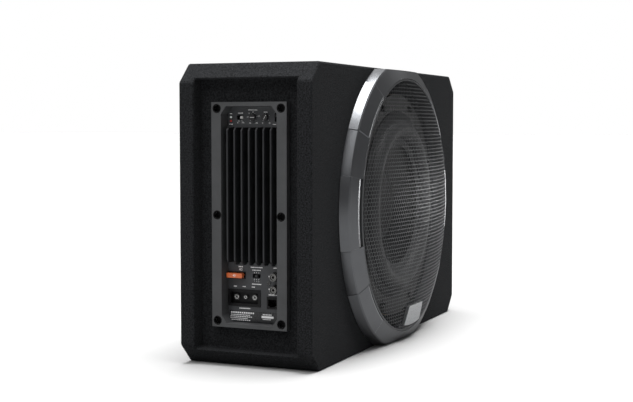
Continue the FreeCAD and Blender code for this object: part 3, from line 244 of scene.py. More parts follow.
BLACK = (0.006, 0.006, 0.0065)
materials = {
    "carpet": felt("carpet_felt", (0.014, 0.0146, 0.0158)),
    "ring_paint": grained("ring_gunmetal", (0.14, 0.144, 0.152), 0.3, 0.85, 2600.0, 0.01, 0.03, 0.015,
                          Coat_Weight=0.15, Coat_Roughness=0.25),
    "grille_steel": grained("grille_powder_coat", (0.12, 0.1225, 0.1265), 0.42, 0.85, 2200.0, 0.03, 0.05,
                            Specular_IOR_Level=0.25),
    "badge": brushed("badge_aluminium", (0.5, 0.51, 0.52), 0.34, (1.0, 8.0, 60.0)),
    "amp_plastic": grained("amp_spark_plastic", (0.058, 0.0595, 0.062), 0.5, 0.0, 1500.0, 0.09),
    "sink_aluminium": grained("sink_black_anodise", (0.035, 0.036, 0.039), 0.42, 0.5, 900.0, 0.03),
    "panel": grained("panel_satin_plastic", (0.05, 0.052, 0.056), 0.48, 0.0, 1900.0, 0.06),
    "label": grained("label_film", (0.02, 0.021, 0.023), 0.3, 0.0, 1200.0, 0.01),
    "print": grained("panel_print", (0.95, 0.95, 0.95), 0.6, 0.0, 3000.0, 0.01, 0.05),
    "dim_print": grained("label_print", (0.85, 0.85, 0.86), 0.6, 0.0, 3000.0, 0.01, 0.05),
    "terminal_plastic": grained("terminal_black_plastic", BLACK, 0.42, 0.0, 1400.0, 0.05,
                                Specular_IOR_Level=0.25),
    "knob_plastic": grained("knob_black_plastic", (0.02, 0.02, 0.021), 0.4, 0.0, 1400.0, 0.04),
    "lever_plastic": grained("lever_white_plastic", (0.72, 0.72, 0.7), 0.45, 0.0, 1400.0, 0.03, 0.05),
    "lever_black": grained("lever_black_plastic", (0.025, 0.025, 0.027), 0.4, 0.0, 1400.0, 0.03),
    "light_white": lens("light_white_lens", (0.75, 0.8, 0.78), 0.25),
    "light_red": lens("light_red_lens", (0.55, 0.05, 0.04), 0.12),
    "fuse_plastic": tinted_plastic("fuse_orange", (0.78, 0.17, 0.045)),
    "jack_nickel": brushed("jack_nickel_plate", (0.24, 0.237, 0.23), 0.26, (1.0, 12.0, 12.0)),
    # Near-white rings at the clamp screws' sockets: painted highlight for their glints.
    "painted_glint_steel": grained("screw_bevel_painted_glint", (0.92, 0.92, 0.9), 0.35, 0.3, 2000.0, 0.01, 0.03),
    "plated_steel": brushed("screw_zinc_plate", (0.12, 0.12, 0.118), 0.3, (1.0, 20.0, 20.0)),
    # Black oxide of the plate's screws; the same near-black also lines the screw recesses as painted shade.
    "black_screw": grained("black_oxide_and_painted_well_shade", (0.004, 0.004, 0.0045), 0.45, 0.2, 1600.0, 0.03,
                           Specular_IOR_Level=0.2),
    "black_steel": grained("basket_black_paint", (0.006, 0.006, 0.0065), 0.6, 0.0, 1000.0, 0.06),
    "rubber": grained("surround_rubber", (0.045, 0.046, 0.048), 0.6, 0.0, 800.0, 0.08),
    "cone_paper": pulp("cone_pulp", (0.006, 0.0062, 0.0066)),
    "foam": grained("gasket_foam", (0.012, 0.012, 0.012), 0.9, 0.0, 700.0, 0.3),
    "mdf": fibreboard("fibreboard", (0.36, 0.25, 0.15)),
    "batten": fibreboard("batten_wood", (0.5, 0.36, 0.22)),
    "wadding": grained("wadding_fleece", (0.78, 0.78, 0.76), 0.95, 0.0, 250.0, 1.0),
    "former": grained("former_film", (0.3, 0.14, 0.05), 0.35, 0.0, 900.0, 0.03),
    "copper": banded("coil_copper", (0.7, 0.33, 0.17), 0.35, 1.0, 700.0, "Y"),
    "winding": banded("choke_winding", (0.62, 0.3, 0.14), 0.35, 1.0, 300.0, "Z"),
    "spider_cloth": banded("spider_cotton", (0.5, 0.36, 0.14), 0.85, 0.0, 500.0, "X"),
    "ferrite": grained("magnet_ferrite", (0.05, 0.05, 0.052), 0.7, 0.1, 500.0, 0.1),
    "lead_jacket": grained("lead_pvc", (0.018, 0.018, 0.018), 0.5, 0.0, 900.0, 0.04),
    "pot_metal": brushed("pot_pressed_steel", (0.55, 0.55, 0.54), 0.4, (1.0, 8.0, 20.0)),
    "board": circuit("board_solder_mask", (0.015, 0.12, 0.04)),
    "can": grained("capacitor_sleeve", (0.02, 0.025, 0.09), 0.3, 0.0, 900.0, 0.03),
    "chip": grained("transistor_epoxy", (0.02, 0.02, 0.02), 0.55, 0.0, 1600.0, 0.04),
    "cover": grained("cover_abs", (0.02, 0.02, 0.021), 0.5, 0.0, 1300.0, 0.06),
}


# ---- Mesh helpers --------------------------------------------------------------
WELD_GAP = 0.01 * MM


def add_object(name, data):
    """A new object with this data, in the scene."""
    item = bpy.data.objects.new(name, data)
    bpy.context.scene.collection.objects.link(item)
    return item


def place(name, mesh, material, smooth=True):
    """A piece of this mesh, with its material."""
    mesh.polygons.foreach_set("use_smooth", [smooth] * len(mesh.polygons))
    mesh.materials.append(materials[material])
    return add_object(name, mesh)


def make(name, verts, faces, material, smooth=True):
    """A piece from lists of points and faces."""
    mesh = bpy.data.meshes.new(name)
    mesh.from_pydata([tuple(v) for v in verts], [], faces)
    mesh.validate()
    return place(name, mesh, material, smooth)


def from_bmesh(name, bm, material, smooth=True):
    """A piece from a bmesh, which is used up."""
    mesh = bpy.data.meshes.new(name)
    bm.to_mesh(mesh)
    bm.free()
    return place(name, mesh, material, smooth)


def soften(piece, width, segments=2, angle=30.0):
    """Small rounded edges that catch the light."""
    bevel = piece.modifiers.new("edges", "BEVEL")
    bevel.width = width
    bevel.segments = segments
    bevel.limit_method = "ANGLE"
    bevel.angle_limit = math.radians(angle)
    bevel.harden_normals = True
    return piece


def stand_in(piece, body, slot, *nodes):
    """The piece rides on a body and is shown in place of these CAD nodes."""
    if nodes:
        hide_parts(*nodes)
    if body:
        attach(piece, body)
    return piece


def weld(piece, name):
    """Joins points that lie on one another."""
    piece.modifiers.new(name, "WELD").merge_threshold = WELD_GAP


def lathe(name, profile, material, segments=160, width=0.0):
    """A closed outline of (radius, y) turned about the driver's axis."""
    count = len(profile)
    verts = []
    for step in range(segments):
        angle = 2 * math.pi * step / segments
        for radius, y in profile:
            verts.append((radius * math.cos(angle), y, AXIS_Z + radius * math.sin(angle)))
    faces = []
    for step in range(segments):
        here = step * count
        after = (step + 1) % segments * count
        for k in range(count):
            nxt = (k + 1) % count
            faces.append((here + k, here + nxt, after + nxt, after + k))
    piece = make(name, verts, faces, material)
    weld(piece, "pole")
    if width:
        soften(piece, width)
    return piece


def dress(node, material, width=0.0):
    """Give a CAD node its material, and rounded edges where it shows."""
    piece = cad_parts[node]
    piece.data.materials.clear()
    piece.data.materials.append(materials[material])
    if width:
        if "custom_normal" in piece.data.attributes:
            piece.data.attributes.remove(piece.data.attributes["custom_normal"])
        piece.data.polygons.foreach_set("use_smooth", [True] * len(piece.data.polygons))
        weld(piece, "weld")
        soften(piece, width)


def middle(node):
    """The middle of a node's box."""
    low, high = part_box(node)
    return (low + high) / 2


# ---- Carpet ----------------------------------------------------------------------
EDGE_ROUND = 3.6 * MM
EDGE_SEGMENTS = 4
SHARP_ANGLE = 0.3
SKIN_THICK = FELT_THICK * 0.9
TUB_CLEAR = 0.4 * MM
HOLE_STEPS = 128
CARPET_HOLE_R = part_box("driver_frame")[1].x + 0.8 * MM


def carpet_cover():
    """One felt skin over the whole box, turned into both end recesses."""
    corner_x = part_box("carpet_bottom")[1].x
    cut = BOX_HIGH.x - corner_x
    tray_low, tray_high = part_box("recess_carpet")
    pocket_y = tray_high.y - FELT_THICK
    pocket_low = tray_low.z + FELT_THICK
    pocket_high = tray_high.z - FELT_THICK
    floor_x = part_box("far_end_panel")[1].x + FELT_THICK
    slope_x = BOX_HIGH.x - (pocket_high - (BOX_HIGH.z - cut))
    front, back = BOX_LOW.y, BOX_HIGH.y
    top, shoulder = BOX_HIGH.z, BOX_HIGH.z - cut
    bm = bmesh.new()
    known = {}

    def vert(x, y, z):
        """The one point at a place."""
        key = (round(x, 6), round(y, 6), round(z, 6))
        if key not in known:
            known[key] = bm.verts.new(key)
        return known[key]

    def face(*points):
        """A flat face through these places."""
        bm.faces.new([vert(*p) for p in points])

    def frame_face(x, y, low, high, hole_y, hole_low, hole_high):
        """A flat face of the recess floor with a rectangular window in it."""
        outer = [(x, -y, low), (x, y, low), (x, y, high), (x, -y, high)]
        inner = [(x, -hole_y, hole_low), (x, hole_y, hole_low),
                 (x, hole_y, hole_high), (x, -hole_y, hole_high)]
        for k in range(4):
            after = (k + 1) % 4
            face(outer[k], outer[after], inner[after], inner[k])

    for z in (0.0, top):
        face((-corner_x, front, z), (corner_x, front, z), (corner_x, back, z), (-corner_x, back, z))
    for side in (-1, 1):
        x, mouth_x, floor = side * BOX_HIGH.x, side * slope_x, side * floor_x
        for z_edge, z_shoulder, z_pocket in ((0.0, cut, pocket_low), (top, shoulder, pocket_high)):
            face((x, front, z_shoulder), (x, -pocket_y, z_shoulder), (mouth_x, -pocket_y, z_pocket),
                 (mouth_x, pocket_y, z_pocket), (x, pocket_y, z_shoulder), (x, back, z_shoulder),
                 (side * corner_x, back, z_edge), (side * corner_x, front, z_edge))
            face((mouth_x, -pocket_y, z_pocket), (mouth_x, pocket_y, z_pocket),
                 (floor, pocket_y, z_pocket), (floor, -pocket_y, z_pocket))
        for y, y_pocket in ((front, -pocket_y), (back, pocket_y)):
            face((x, y, cut), (x, y_pocket, cut), (x, y_pocket, shoulder), (x, y, shoulder))
            face((x, y_pocket, cut), (x, y_pocket, shoulder),
                 (mouth_x, y_pocket, pocket_high), (floor, y_pocket, pocket_high),
                 (floor, y_pocket, pocket_low), (mouth_x, y_pocket, pocket_low))
        if side < 0:
            tub_low, tub_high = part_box("amp_rear_cover")
            frame_face(floor, pocket_y, pocket_low, pocket_high, tub_high.y + TUB_CLEAR,
                       tub_low.z - TUB_CLEAR, tub_high.z + TUB_CLEAR)
        else:
            face((floor, -pocket_y, pocket_low), (floor, pocket_y, pocket_low),
                 (floor, pocket_y, pocket_high), (floor, -pocket_y, pocket_high))

    def outline(y):
        """Corners of the box's eight-sided front or back."""
        return [(BOX_HIGH.x, y, cut), (BOX_HIGH.x, y, shoulder), (corner_x, y, top), (-corner_x, y, top),
                (-BOX_HIGH.x, y, shoulder), (-BOX_HIGH.x, y, cut), (-corner_x, y, 0.0), (corner_x, y, 0.0)]

    face(*outline(back))
    turns = [2 * math.pi * k / HOLE_STEPS for k in range(HOLE_STEPS)]
    ring = [vert(CARPET_HOLE_R * math.cos(turn), front, AXIS_Z + CARPET_HOLE_R * math.sin(turn))
            for turn in turns]
    edges = [bm.edges.new((ring[k], ring[(k + 1) % HOLE_STEPS])) for k in range(HOLE_STEPS)]
    corners = [vert(*p) for p in outline(front)]
    edges += [bm.edges.get((corners[k], corners[(k + 1) % len(corners)])) for k in range(len(corners))]
    bmesh.ops.triangle_fill(bm, use_beauty=True, edges=edges)
    bmesh.ops.recalc_face_normals(bm, faces=bm.faces)
    bm.normal_update()
    highest = max(bm.faces, key=lambda f: f.calc_center_median().z)
    if highest.normal.z < 0:
        bmesh.ops.reverse_faces(bm, faces=bm.faces)
    bm.normal_update()
    sharp = [e for e in bm.edges if len(e.link_faces) == 2 and e.calc_face_angle() > SHARP_ANGLE]
    bmesh.ops.bevel(bm, geom=sharp, offset=EDGE_ROUND, segments=EDGE_SEGMENTS, profile=0.5,
                    affect="EDGES", clamp_overlap=True)
    piece = from_bmesh("carpet_cover", bm, "carpet")
    skin = piece.modifiers.new("felt_thickness", "SOLIDIFY")
    skin.thickness = SKIN_THICK
    skin.offset = -1.0
    normals = piece.modifiers.new("flat_panels", "WEIGHTED_NORMAL")
    normals.keep_sharp = True
    return stand_in(piece, "root", "carpet", "carpet_wrap", "carpet_bottom", "recess_carpet")


# ---- Trim ring and grille ------------------------------------------------------------
# The edge and lip sizes are radii and distances in front of the baffle.
RING_HALF_FLAT = AXIS_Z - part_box("halo_ring")[0].z
RING_BACK_R = 176.0 * MM
RING_EDGE = (172.5 * MM, 11.4 * MM)
RING_LIP = (154.6 * MM, 18.9 * MM)
RING_BORE_R = 153.8 * MM
EDGE_BREAK = 0.9 * MM
EDGE_LEAN = 0.36 * MM
BACK_BREAK = 0.6 * MM
LIP_BREAK = (0.2 * MM, 0.8 * MM)
BORE_DROP = 5.0 * MM
RING_BEVEL = 0.35 * MM
RING_BEVEL_ANGLE = 18.0
BLOCK_RISE = 0.8 * MM
PLATE_RISE = 0.5 * MM
BLOCK_LIP = (160.8 * MM, 155.4 * MM)
PLATE_LIP = (156.6 * MM, 154.8 * MM)
PLAIN_LIP = (154.3 * MM, 154.1 * MM)
LIP_TILT = 0.02
LINE_DEPTH = 0.5 * MM
RING_STEP_DEG = 1.0
RING_LINES = (14.0, 32.0, 57.0)
LINE_HALF_DEG = 0.12
LINE_SHOULDERS_DEG = (-0.14, -0.1, 0.1, 0.14)
STEP_DEG = 0.4


def ring_part(degrees):
    """Rise of the ring's face, radius change of its outer wall and its lip's two radii, at an angle."""
    angle = abs((degrees + 90.0) % 180.0 - 90.0)
    block, low, high = RING_LINES
    face, wall, lip = 0.0, 0.0, PLAIN_LIP
    if angle < block:
        face, wall, lip = BLOCK_RISE * min(1.0, (block - angle) / STEP_DEG), BLOCK_RISE, BLOCK_LIP
    elif low < angle < high:
        step = min(1.0, (angle - low) / STEP_DEG, (high - angle) / STEP_DEG)
        face, wall, lip = PLATE_RISE * step, PLATE_RISE, PLATE_LIP
    if min(abs(angle - line) for line in RING_LINES) < LINE_HALF_DEG:
        wall = -LINE_DEPTH
    return face, wall, lip


def ring_profile(rise, wall, lip):
    """Outline of the ring's section as (radius, distance in front of the baffle).

    It goes up the outer wall, over its broken edge and the sloped face to the inner lip,
    and down the bore to the back.
    """
    slope = (RING_LIP[1] - RING_EDGE[1]) / (RING_EDGE[0] - RING_LIP[0])

    def face_p(radius):
        """How far the sloped face stands off the baffle at a radius."""
        return RING_EDGE[1] + (RING_EDGE[0] - radius) * slope + rise

    lip_p = face_p(lip[0]) - LIP_TILT * (lip[0] - lip[1])
    return [
        (RING_BACK_R + min(wall, 0.0), 0.0),
        (RING_BACK_R + wall, BACK_BREAK),
        (RING_EDGE[0] + wall + EDGE_LEAN, RING_EDGE[1] - EDGE_BREAK),
        (RING_EDGE[0] + rise - EDGE_BREAK, face_p(RING_EDGE[0] + rise - EDGE_BREAK)),
        (lip[0], face_p(lip[0])),
        (lip[1], lip_p),
        (lip[1] - LIP_BREAK[0], lip_p - LIP_BREAK[1]),
        (RING_BORE_R, RING_LIP[1] - BORE_DROP),
        (RING_BORE_R, 0.0),
    ]


def ring_angles():
    """Even steps round the ring, with close pairs at both sides of each panel line."""
    angles = {round(k * RING_STEP_DEG, 3) for k in range(int(360 / RING_STEP_DEG))}
    for side in (0.0, 180.0):
        for line in RING_LINES:
            for sign in (-1, 1):
                line_at = side + sign * line
                angles.discard(round(line_at % 360.0, 3))
                for offset in LINE_SHOULDERS_DEG + (-STEP_DEG, STEP_DEG):
                    angles.add(round((line_at + offset) % 360.0, 3))
    return sorted(angles)


def halo_ring():
    """Faceted trim ring with flats at its top and bottom."""
    bm = bmesh.new()
    rows = []
    for degrees in ring_angles():
        angle = math.radians(degrees)
        across, up = math.cos(angle), math.sin(angle)
        rows.append([bm.verts.new((radius * across, BAFFLE_Y - proud, AXIS_Z + radius * up))
                     for radius, proud in ring_profile(*ring_part(degrees))])
    for index, row in enumerate(rows):
        after = rows[(index + 1) % len(rows)]
        for k in range(len(row)):
            nxt = (k + 1) % len(row)
            bm.faces.new((row[k], row[nxt], after[nxt], after[k]))
    for sign in (-1, 1):
        cut = bmesh.ops.bisect_plane(bm, geom=bm.verts[:] + bm.edges[:] + bm.faces[:], clear_outer=True,
                                     plane_co=(0, 0, AXIS_Z + sign * RING_HALF_FLAT), plane_no=(0, 0, sign))
        edges = [item for item in cut["geom_cut"] if isinstance(item, bmesh.types.BMEdge)]
        bmesh.ops.triangle_fill(bm, use_beauty=True, edges=edges)
    bmesh.ops.recalc_face_normals(bm, faces=bm.faces)
    piece = from_bmesh("halo_ring_faceted", bm, "ring_paint")
    soften(piece, RING_BEVEL, 2, RING_BEVEL_ANGLE)
    return stand_in(piece, "root", "ring_paint", "halo_ring")


GRILLE_LOW, GRILLE_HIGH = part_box("grille")
GRILLE_R = GRILLE_HIGH.x
SKIRT = 11.0 * MM
GRILLE_LIP_Y = GRILLE_HIGH.y - SKIRT
GRILLE_RISE = GRILLE_LIP_Y - GRILLE_LOW.y
DOME_R = (GRILLE_R ** 2 + GRILLE_RISE ** 2) / (2 * GRILLE_RISE)
RIM_SHEET = 0.9 * MM
SHEET = 0.3 * MM
CELL = 5.05 * MM
CELL_OPEN = 0.87
CELL_PARTS = 60
MESH_R = 153.2 * MM
RIM_IN_R = 151.6 * MM
RIM_SINK = 0.12 * MM
RIM_BEVEL = 0.25 * MM
FINE_STEPS = 180


def dome_y(radius):
    """Outer face of the spherical grille at a radius."""
    return GRILLE_LOW.y + DOME_R - math.sqrt(DOME_R ** 2 - radius ** 2)


def grille_mesh():
    """Honeycomb-perforated dome: one hexagonal web round each hole."""
    corner_r = CELL / math.sqrt(3)
    row_step = CELL * math.sqrt(3) / 2
    rows = int(MESH_R / row_step) + 1
    cols = int(MESH_R / CELL) + 1
    verts, faces, known = [], [], {}

    def point(x, z):
        """Index of a new point of the dome."""
        verts.append((x, dome_y(math.hypot(x, z)), AXIS_Z + z))
        return len(verts) - 1

    def shared(x, z):
        """Index of a corner that up to three webs share."""
        key = (round(x / CELL * CELL_PARTS), round(z / CELL * CELL_PARTS))
        if key not in known:
            known[key] = point(x, z)
        return known[key]

    for row in range(-rows, rows + 1):
        for col in range(-cols, cols + 1):
            x = (col + 0.5 * (row % 2)) * CELL
            z = row * row_step
            if math.hypot(x, z) > MESH_R - corner_r:
                continue
            turns = [math.radians(30 + 60 * k) for k in range(6)]
            web = [shared(x + corner_r * math.cos(a), z + corner_r * math.sin(a)) for a in turns]
            hole_r = corner_r * CELL_OPEN
            hole = [point(x + hole_r * math.cos(a), z + hole_r * math.sin(a)) for a in turns]
            for k in range(6):
                after = (k + 1) % 6
                faces.append((web[k], web[after], hole[after], hole[k]))
    piece = make("grille_perforated", verts, faces, "grille_steel", smooth=False)
    sheet = piece.modifiers.new("sheet", "SOLIDIFY")
    sheet.thickness = SHEET
    sheet.offset = -1.0 if piece.data.polygons[0].normal.y < 0 else 1.0
    return stand_in(piece, "root", "grille_steel", "grille")


def grille_rim():
    """Plain folded rim and skirt that the perforated sheet ends in."""
    inner_y = dome_y(RIM_IN_R) + RIM_SINK
    rim = lathe("grille_rim", [
        (GRILLE_R, GRILLE_HIGH.y), (GRILLE_R, GRILLE_LIP_Y + RIM_SINK), (RIM_IN_R, inner_y),
        (RIM_IN_R, inner_y + RIM_SHEET), (GRILLE_R - RIM_SHEET, GRILLE_LIP_Y + RIM_SHEET + RIM_SINK),
        (GRILLE_R - RIM_SHEET, GRILLE_HIGH.y),
    ], "grille_steel", FINE_STEPS, RIM_BEVEL)
    return stand_in(rim, "root", "grille_steel")


# ---- Driver ------------------------------------------------------------------------
FLANGE_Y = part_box("driver_frame")[0].y
ROLL_IN = 82.0 * MM
ROLL_OUT = 105.0 * MM
RUBBER = 1.2 * MM
GLUE = 9.0 * MM
ROLL_STEPS = 20


def surround_profile():
    """Outline of the rubber's section: glued edge, half roll, glued edge and the roll's back."""
    ridge = (ROLL_IN + ROLL_OUT) / 2
    roll = (ROLL_OUT - ROLL_IN) / 2
    outer_y = FLANGE_Y - RUBBER
    arc = [math.pi * k / ROLL_STEPS for k in range(ROLL_STEPS + 1)]
    front = [(ridge - roll * math.cos(a), outer_y - roll * math.sin(a)) for a in arc]
    inner = roll - RUBBER
    back = [(ridge + inner * math.cos(a), FLANGE_Y - inner * math.sin(a)) for a in arc]
    return ([(ROLL_IN - GLUE, FLANGE_Y), (ROLL_IN - GLUE, outer_y)] + front
            + [(ROLL_OUT + GLUE, outer_y), (ROLL_OUT + GLUE, FLANGE_Y)] + back)


def surround():
    """Half-roll of rubber between the frame outside and the cone inside."""
    piece = lathe("surround_roll", surround_profile(), "rubber", FINE_STEPS)
    stand_in(piece, None, "rubber", "surround")
    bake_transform(piece)
    return piece


NECK_R = 25.4 * MM
CONE_NECK_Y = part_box("coil_former")[0].y
CONE_RINGS = 28
CONE_CURVE = 0.85
CONE_SINK = 0.1 * MM
PAPER = 1.4 * MM
CAP_LOW, CAP_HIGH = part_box("dust_cap")
CAP_R = CAP_HIGH.x
CAP_RINGS = 16
CAP_SKIN = PAPER * 0.7


def cone():
    """Dished paper cone, steepest at its outer edge."""
    front, back = [], []
    for k in range(CONE_RINGS + 1):
        share = k / CONE_RINGS
        radius = ROLL_IN - (ROLL_IN - NECK_R) * share
        y = FLANGE_Y + (CONE_NECK_Y - FLANGE_Y) * share ** CONE_CURVE + CONE_SINK
        front.append((radius, y))
        back.append((radius, y + PAPER))
    piece = lathe("cone_dish", front + back[::-1], "cone_paper", FINE_STEPS)
    return stand_in(piece, "cone_assembly", "cone_paper", "cone")


def dust_cap():
    """Shallow spherical cap, hollow like a dish, over the cone's neck."""
    sink = CAP_HIGH.y - CAP_LOW.y - PAPER
    sphere_r = (CAP_R ** 2 + sink ** 2) / (2 * sink)
    front = []
    for k in range(CAP_RINGS + 1):
        radius = CAP_R * (1 - k / CAP_RINGS)
        front.append((radius, CAP_LOW.y + math.sqrt(sphere_r ** 2 - radius ** 2) - sphere_r + sink))
    back = [(radius, y + CAP_SKIN) for radius, y in reversed(front)]
    piece = lathe("dust_cap_dish", front + back, "cone_paper")
    return stand_in(piece, "cone_assembly", "cone_paper", "dust_cap")


# ---- Amplifier end -------------------------------------------------------------------
PRINT_RISE = 0.06 * MM
FONT_SIZE = 1.4
DASH_SHARE = 0.72


def bars(name, material, x, boxes):
    """Flat printed marks, each (y, z, width, height) in millimetres, facing out of the end."""
    bm = bmesh.new()
    for y, z, width, height in boxes:
        shape = Matrix.Translation(Vector((x - PRINT_RISE / 2, y * MM, z * MM)))
        scale = Matrix.Diagonal(Vector((PRINT_RISE, width * MM, height * MM, 1.0)))
        bmesh.ops.create_cube(bm, size=1.0, matrix=shape @ scale)
    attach(from_bmesh(name, bm, material, smooth=False), "root")


def numerals(name, x, items, body="root"):
    """Printed numbers, each (text, y, z, height) in millimetres, facing out of the end."""
    made = []
    facing = Matrix(((0, 0, -1, 0), (-1, 0, 0, 0), (0, 1, 0, 0), (0, 0, 0, 1)))
    for text, y, z, height in items:
        curve = bpy.data.curves.new(name, "FONT")
        curve.body = text
        curve.size = height * MM * FONT_SIZE
        curve.align_x = "CENTER"
        curve.align_y = "CENTER"
        curve.extrude = PRINT_RISE / 2
        holder = add_object(name + "_curve", curve)
        holder.matrix_world = Matrix.Translation(Vector((x - PRINT_RISE / 2, y * MM, z * MM))) @ facing
        made.append(holder)
    bpy.context.view_layer.update()
    bm = bmesh.new()
    graph = bpy.context.evaluated_depsgraph_get()
    for holder in made:
        mesh = bpy.data.meshes.new_from_object(holder.evaluated_get(graph))
        mesh.transform(holder.matrix_world)
        bm.from_mesh(mesh)
        bpy.data.meshes.remove(mesh)
        curve = holder.data
        bpy.data.objects.remove(holder)
        bpy.data.curves.remove(curve)
    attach(from_bmesh(name, bm, "print", smooth=False), body)


def dashes(y, z, width, height, count):
    """A row of small dashes that reads as a line of print from a distance."""
    pitch = width / count
    first = y + width / 2 - pitch / 2
    return [(first - k * pitch, z, pitch * DASH_SHARE, height) for k in range(count)]


def centre(node):
    """Y and Z of a node's middle, in millimetres."""
    point = middle(node) / MM
    return point.y, point.z


# Sizes of the print in millimetres: dots and their circle round a dial, ticks at a switch,
# heights of figures and of lines of print.
DIAL_R = 4.5
DIAL_DOT = 0.45
DIAL_FROM, DIAL_TO = 225.0, -45.0
TICK = 0.5
FIGURE, END_FIGURE, FUSE_FIGURE, BIG_FIGURE = 1.4, 1.5, 2.6, 3.0
FINE_LINE, LINE, TERMINAL_LINE, BOLD_LINE = 0.9, 1.0, 1.1, 1.2
JACK_MARK = 1.4
JACK_MARK_HEIGHTS = (98.4, 84.6)
MODE_STEP = 2.6


def dial_marks(y, z, count):
    """Dots round an adjuster, from its lowest setting to its highest."""
    marks = []
    for k in range(count):
        angle = math.radians(DIAL_FROM + (DIAL_TO - DIAL_FROM) * k / (count - 1))
        marks.append((y + DIAL_R * math.cos(angle), z + DIAL_R * math.sin(angle), DIAL_DOT, DIAL_DOT))
    return marks


def control_graphics():
    """Marks round the upper panel's switches and adjusters: numbers, and dashes for words."""
    cross_y, control_z = centre("crossover_knob")
    gain_y = centre("gain_knob")[0]
    phase_y = cross_y + 15.5
    level_y = gain_y - 11.5
    lights_y = 29.0
    marks = dashes(phase_y, control_z + 4.6, 6.0, FINE_LINE, 5)
    marks += dashes(cross_y + 0.5, control_z + 8.0, 11.0, FINE_LINE, 9)
    marks += dashes(gain_y, control_z + 5.6, 4.6, FINE_LINE, 4)
    marks += dashes(lights_y, control_z + 4.0, 3.0, FINE_LINE, 3)
    marks += dashes(lights_y, control_z - 7.4, 4.6, FINE_LINE, 4)
    marks += dashes(level_y + 1.0, control_z - 7.6, 4.0, FINE_LINE, 3)
    marks += [(phase_y + side * 1.9, control_z - 3.9, TICK, 1.0) for side in (-1, 1)]
    marks += dial_marks(cross_y, control_z, 6)
    marks += dial_marks(gain_y, control_z, 5)
    bars("control_marks", "print", PANEL_X, marks)
    numerals("control_numbers", PANEL_X, [
        ("0", phase_y + 3.2, control_z - 5.8, END_FIGURE),
        ("180", phase_y - 3.0, control_z - 5.8, END_FIGURE),
        ("50", cross_y + 3.8, control_z - 6.2, FIGURE), ("60", cross_y + 6.6, control_z + 0.4, FIGURE),
        ("70", cross_y + 5.0, control_z + 4.2, FIGURE), ("80", cross_y, control_z + 5.8, FIGURE),
        ("120", cross_y - 6.4, control_z + 1.4, FIGURE), ("150", cross_y - 4.0, control_z - 6.2, FIGURE),
        ("0", gain_y + 3.8, control_z - 6.2, END_FIGURE), ("10", gain_y - 4.6, control_z - 6.2, END_FIGURE),
    ])


def connector_graphics():
    """Marks round the lower panel's fuse, switch, jacks and terminals: numbers, and dashes for words."""
    fuse_y, fuse_z = centre("blade_fuse")
    mode_y, mode_z = centre("mode_switch_lever")
    jack_y = centre("input_jacks")[0]
    block_y, block_z = centre("terminal_block")
    places = (-1, 0, 1)
    marks = dashes(fuse_y - 4.6, fuse_z + 9.4, 5.6, 1.4, 3)
    marks += dashes(mode_y, mode_z + 9.4, 14.5, LINE, 9)
    marks += dashes(mode_y, mode_z + 6.4, 10.5, LINE, 6)
    for z in (mode_z + 3.6, mode_z - 3.6):
        marks += [(mode_y + MODE_STEP * k, z, TICK, 0.9) for k in places]
    marks += dashes(mode_y, mode_z - 9.0, 11.5, LINE, 8)
    marks += dashes(jack_y + 0.4, mode_z + 9.6, 5.5, LINE, 4)
    marks += dashes(jack_y + 3.0, block_z + 4.9, 12.0, BOLD_LINE, 7)
    for name in ("earth_screw", "remote_screw", "supply_screw"):
        marks += dashes(centre(name)[0], block_z + 12.4, 4.0, TERMINAL_LINE, 3)
    marks += dashes(block_y - 0.4, block_z - 11.6, 13.5, TERMINAL_LINE, 9)
    marks += [(jack_y + 8.2, z, JACK_MARK, JACK_MARK) for z in JACK_MARK_HEIGHTS]
    bars("connector_marks", "print", PANEL_X, marks)
    figures = [(str(2 - k), mode_y + MODE_STEP * k, mode_z - 5.8, FIGURE) for k in reversed(places)]
    numerals("connector_numbers", PANEL_X, [("40", fuse_y - 4.6, fuse_z + 6.2, BIG_FIGURE)] + figures)


def label_graphics():
    """Dashes for the small print, and one blank tag, on the label plate."""
    label_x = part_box("label_plate")[0].x
    rows = dashes(15.5, 57.0, 29.0, 1.7, 11)
    for k, (width, count) in enumerate(((24.0, 13), (27.0, 12), (22.0, 14), (26.0, 11))):
        rows += dashes(30.0 - width / 2 + 0.6 * k, 54.6 - 1.9 * k, width, LINE, count)
    rows += dashes(-14.5, 56.4, 11.0, 1.3, 6)
    rows += dashes(-14.0, 51.2, 10.0, LINE, 7)
    bars("label_lines", "dim_print", label_x, rows)
    bars("label_tag", "print", label_x, [(-15.0, 53.7, 14.5, 2.4)])


WELL_RIM_R = 5.0 * MM
WELL_R = 4.25 * MM
WELL_BORE_R = 4.05 * MM
WELL_DEPTH = 3.0 * MM
WELL_PROUD = 0.05 * MM
WELL_SUNK = 0.2 * MM
TURNED_SIDES = 32


def face_middle(points):
    """Y and Z of the middle of a set of points."""
    return (points.min(axis=0) + points.max(axis=0))[1:] / 2


def turned(name, centre_y, centre_z, profile, material, slot, body):
    """A closed outline of (radius, x) turned about a line along X."""
    count = len(profile)
    verts, faces = [], []
    for step in range(TURNED_SIDES):
        angle = 2 * math.pi * step / TURNED_SIDES
        for radius, x in profile:
            verts.append((x, centre_y + radius * math.cos(angle), centre_z + radius * math.sin(angle)))
        here, after = step * count, (step + 1) % TURNED_SIDES * count
        for k in range(count):
            nxt = (k + 1) % count
            faces.append((here + k, after + k, after + nxt, here + nxt))
    return stand_in(make(name, verts, faces, material), body, slot)


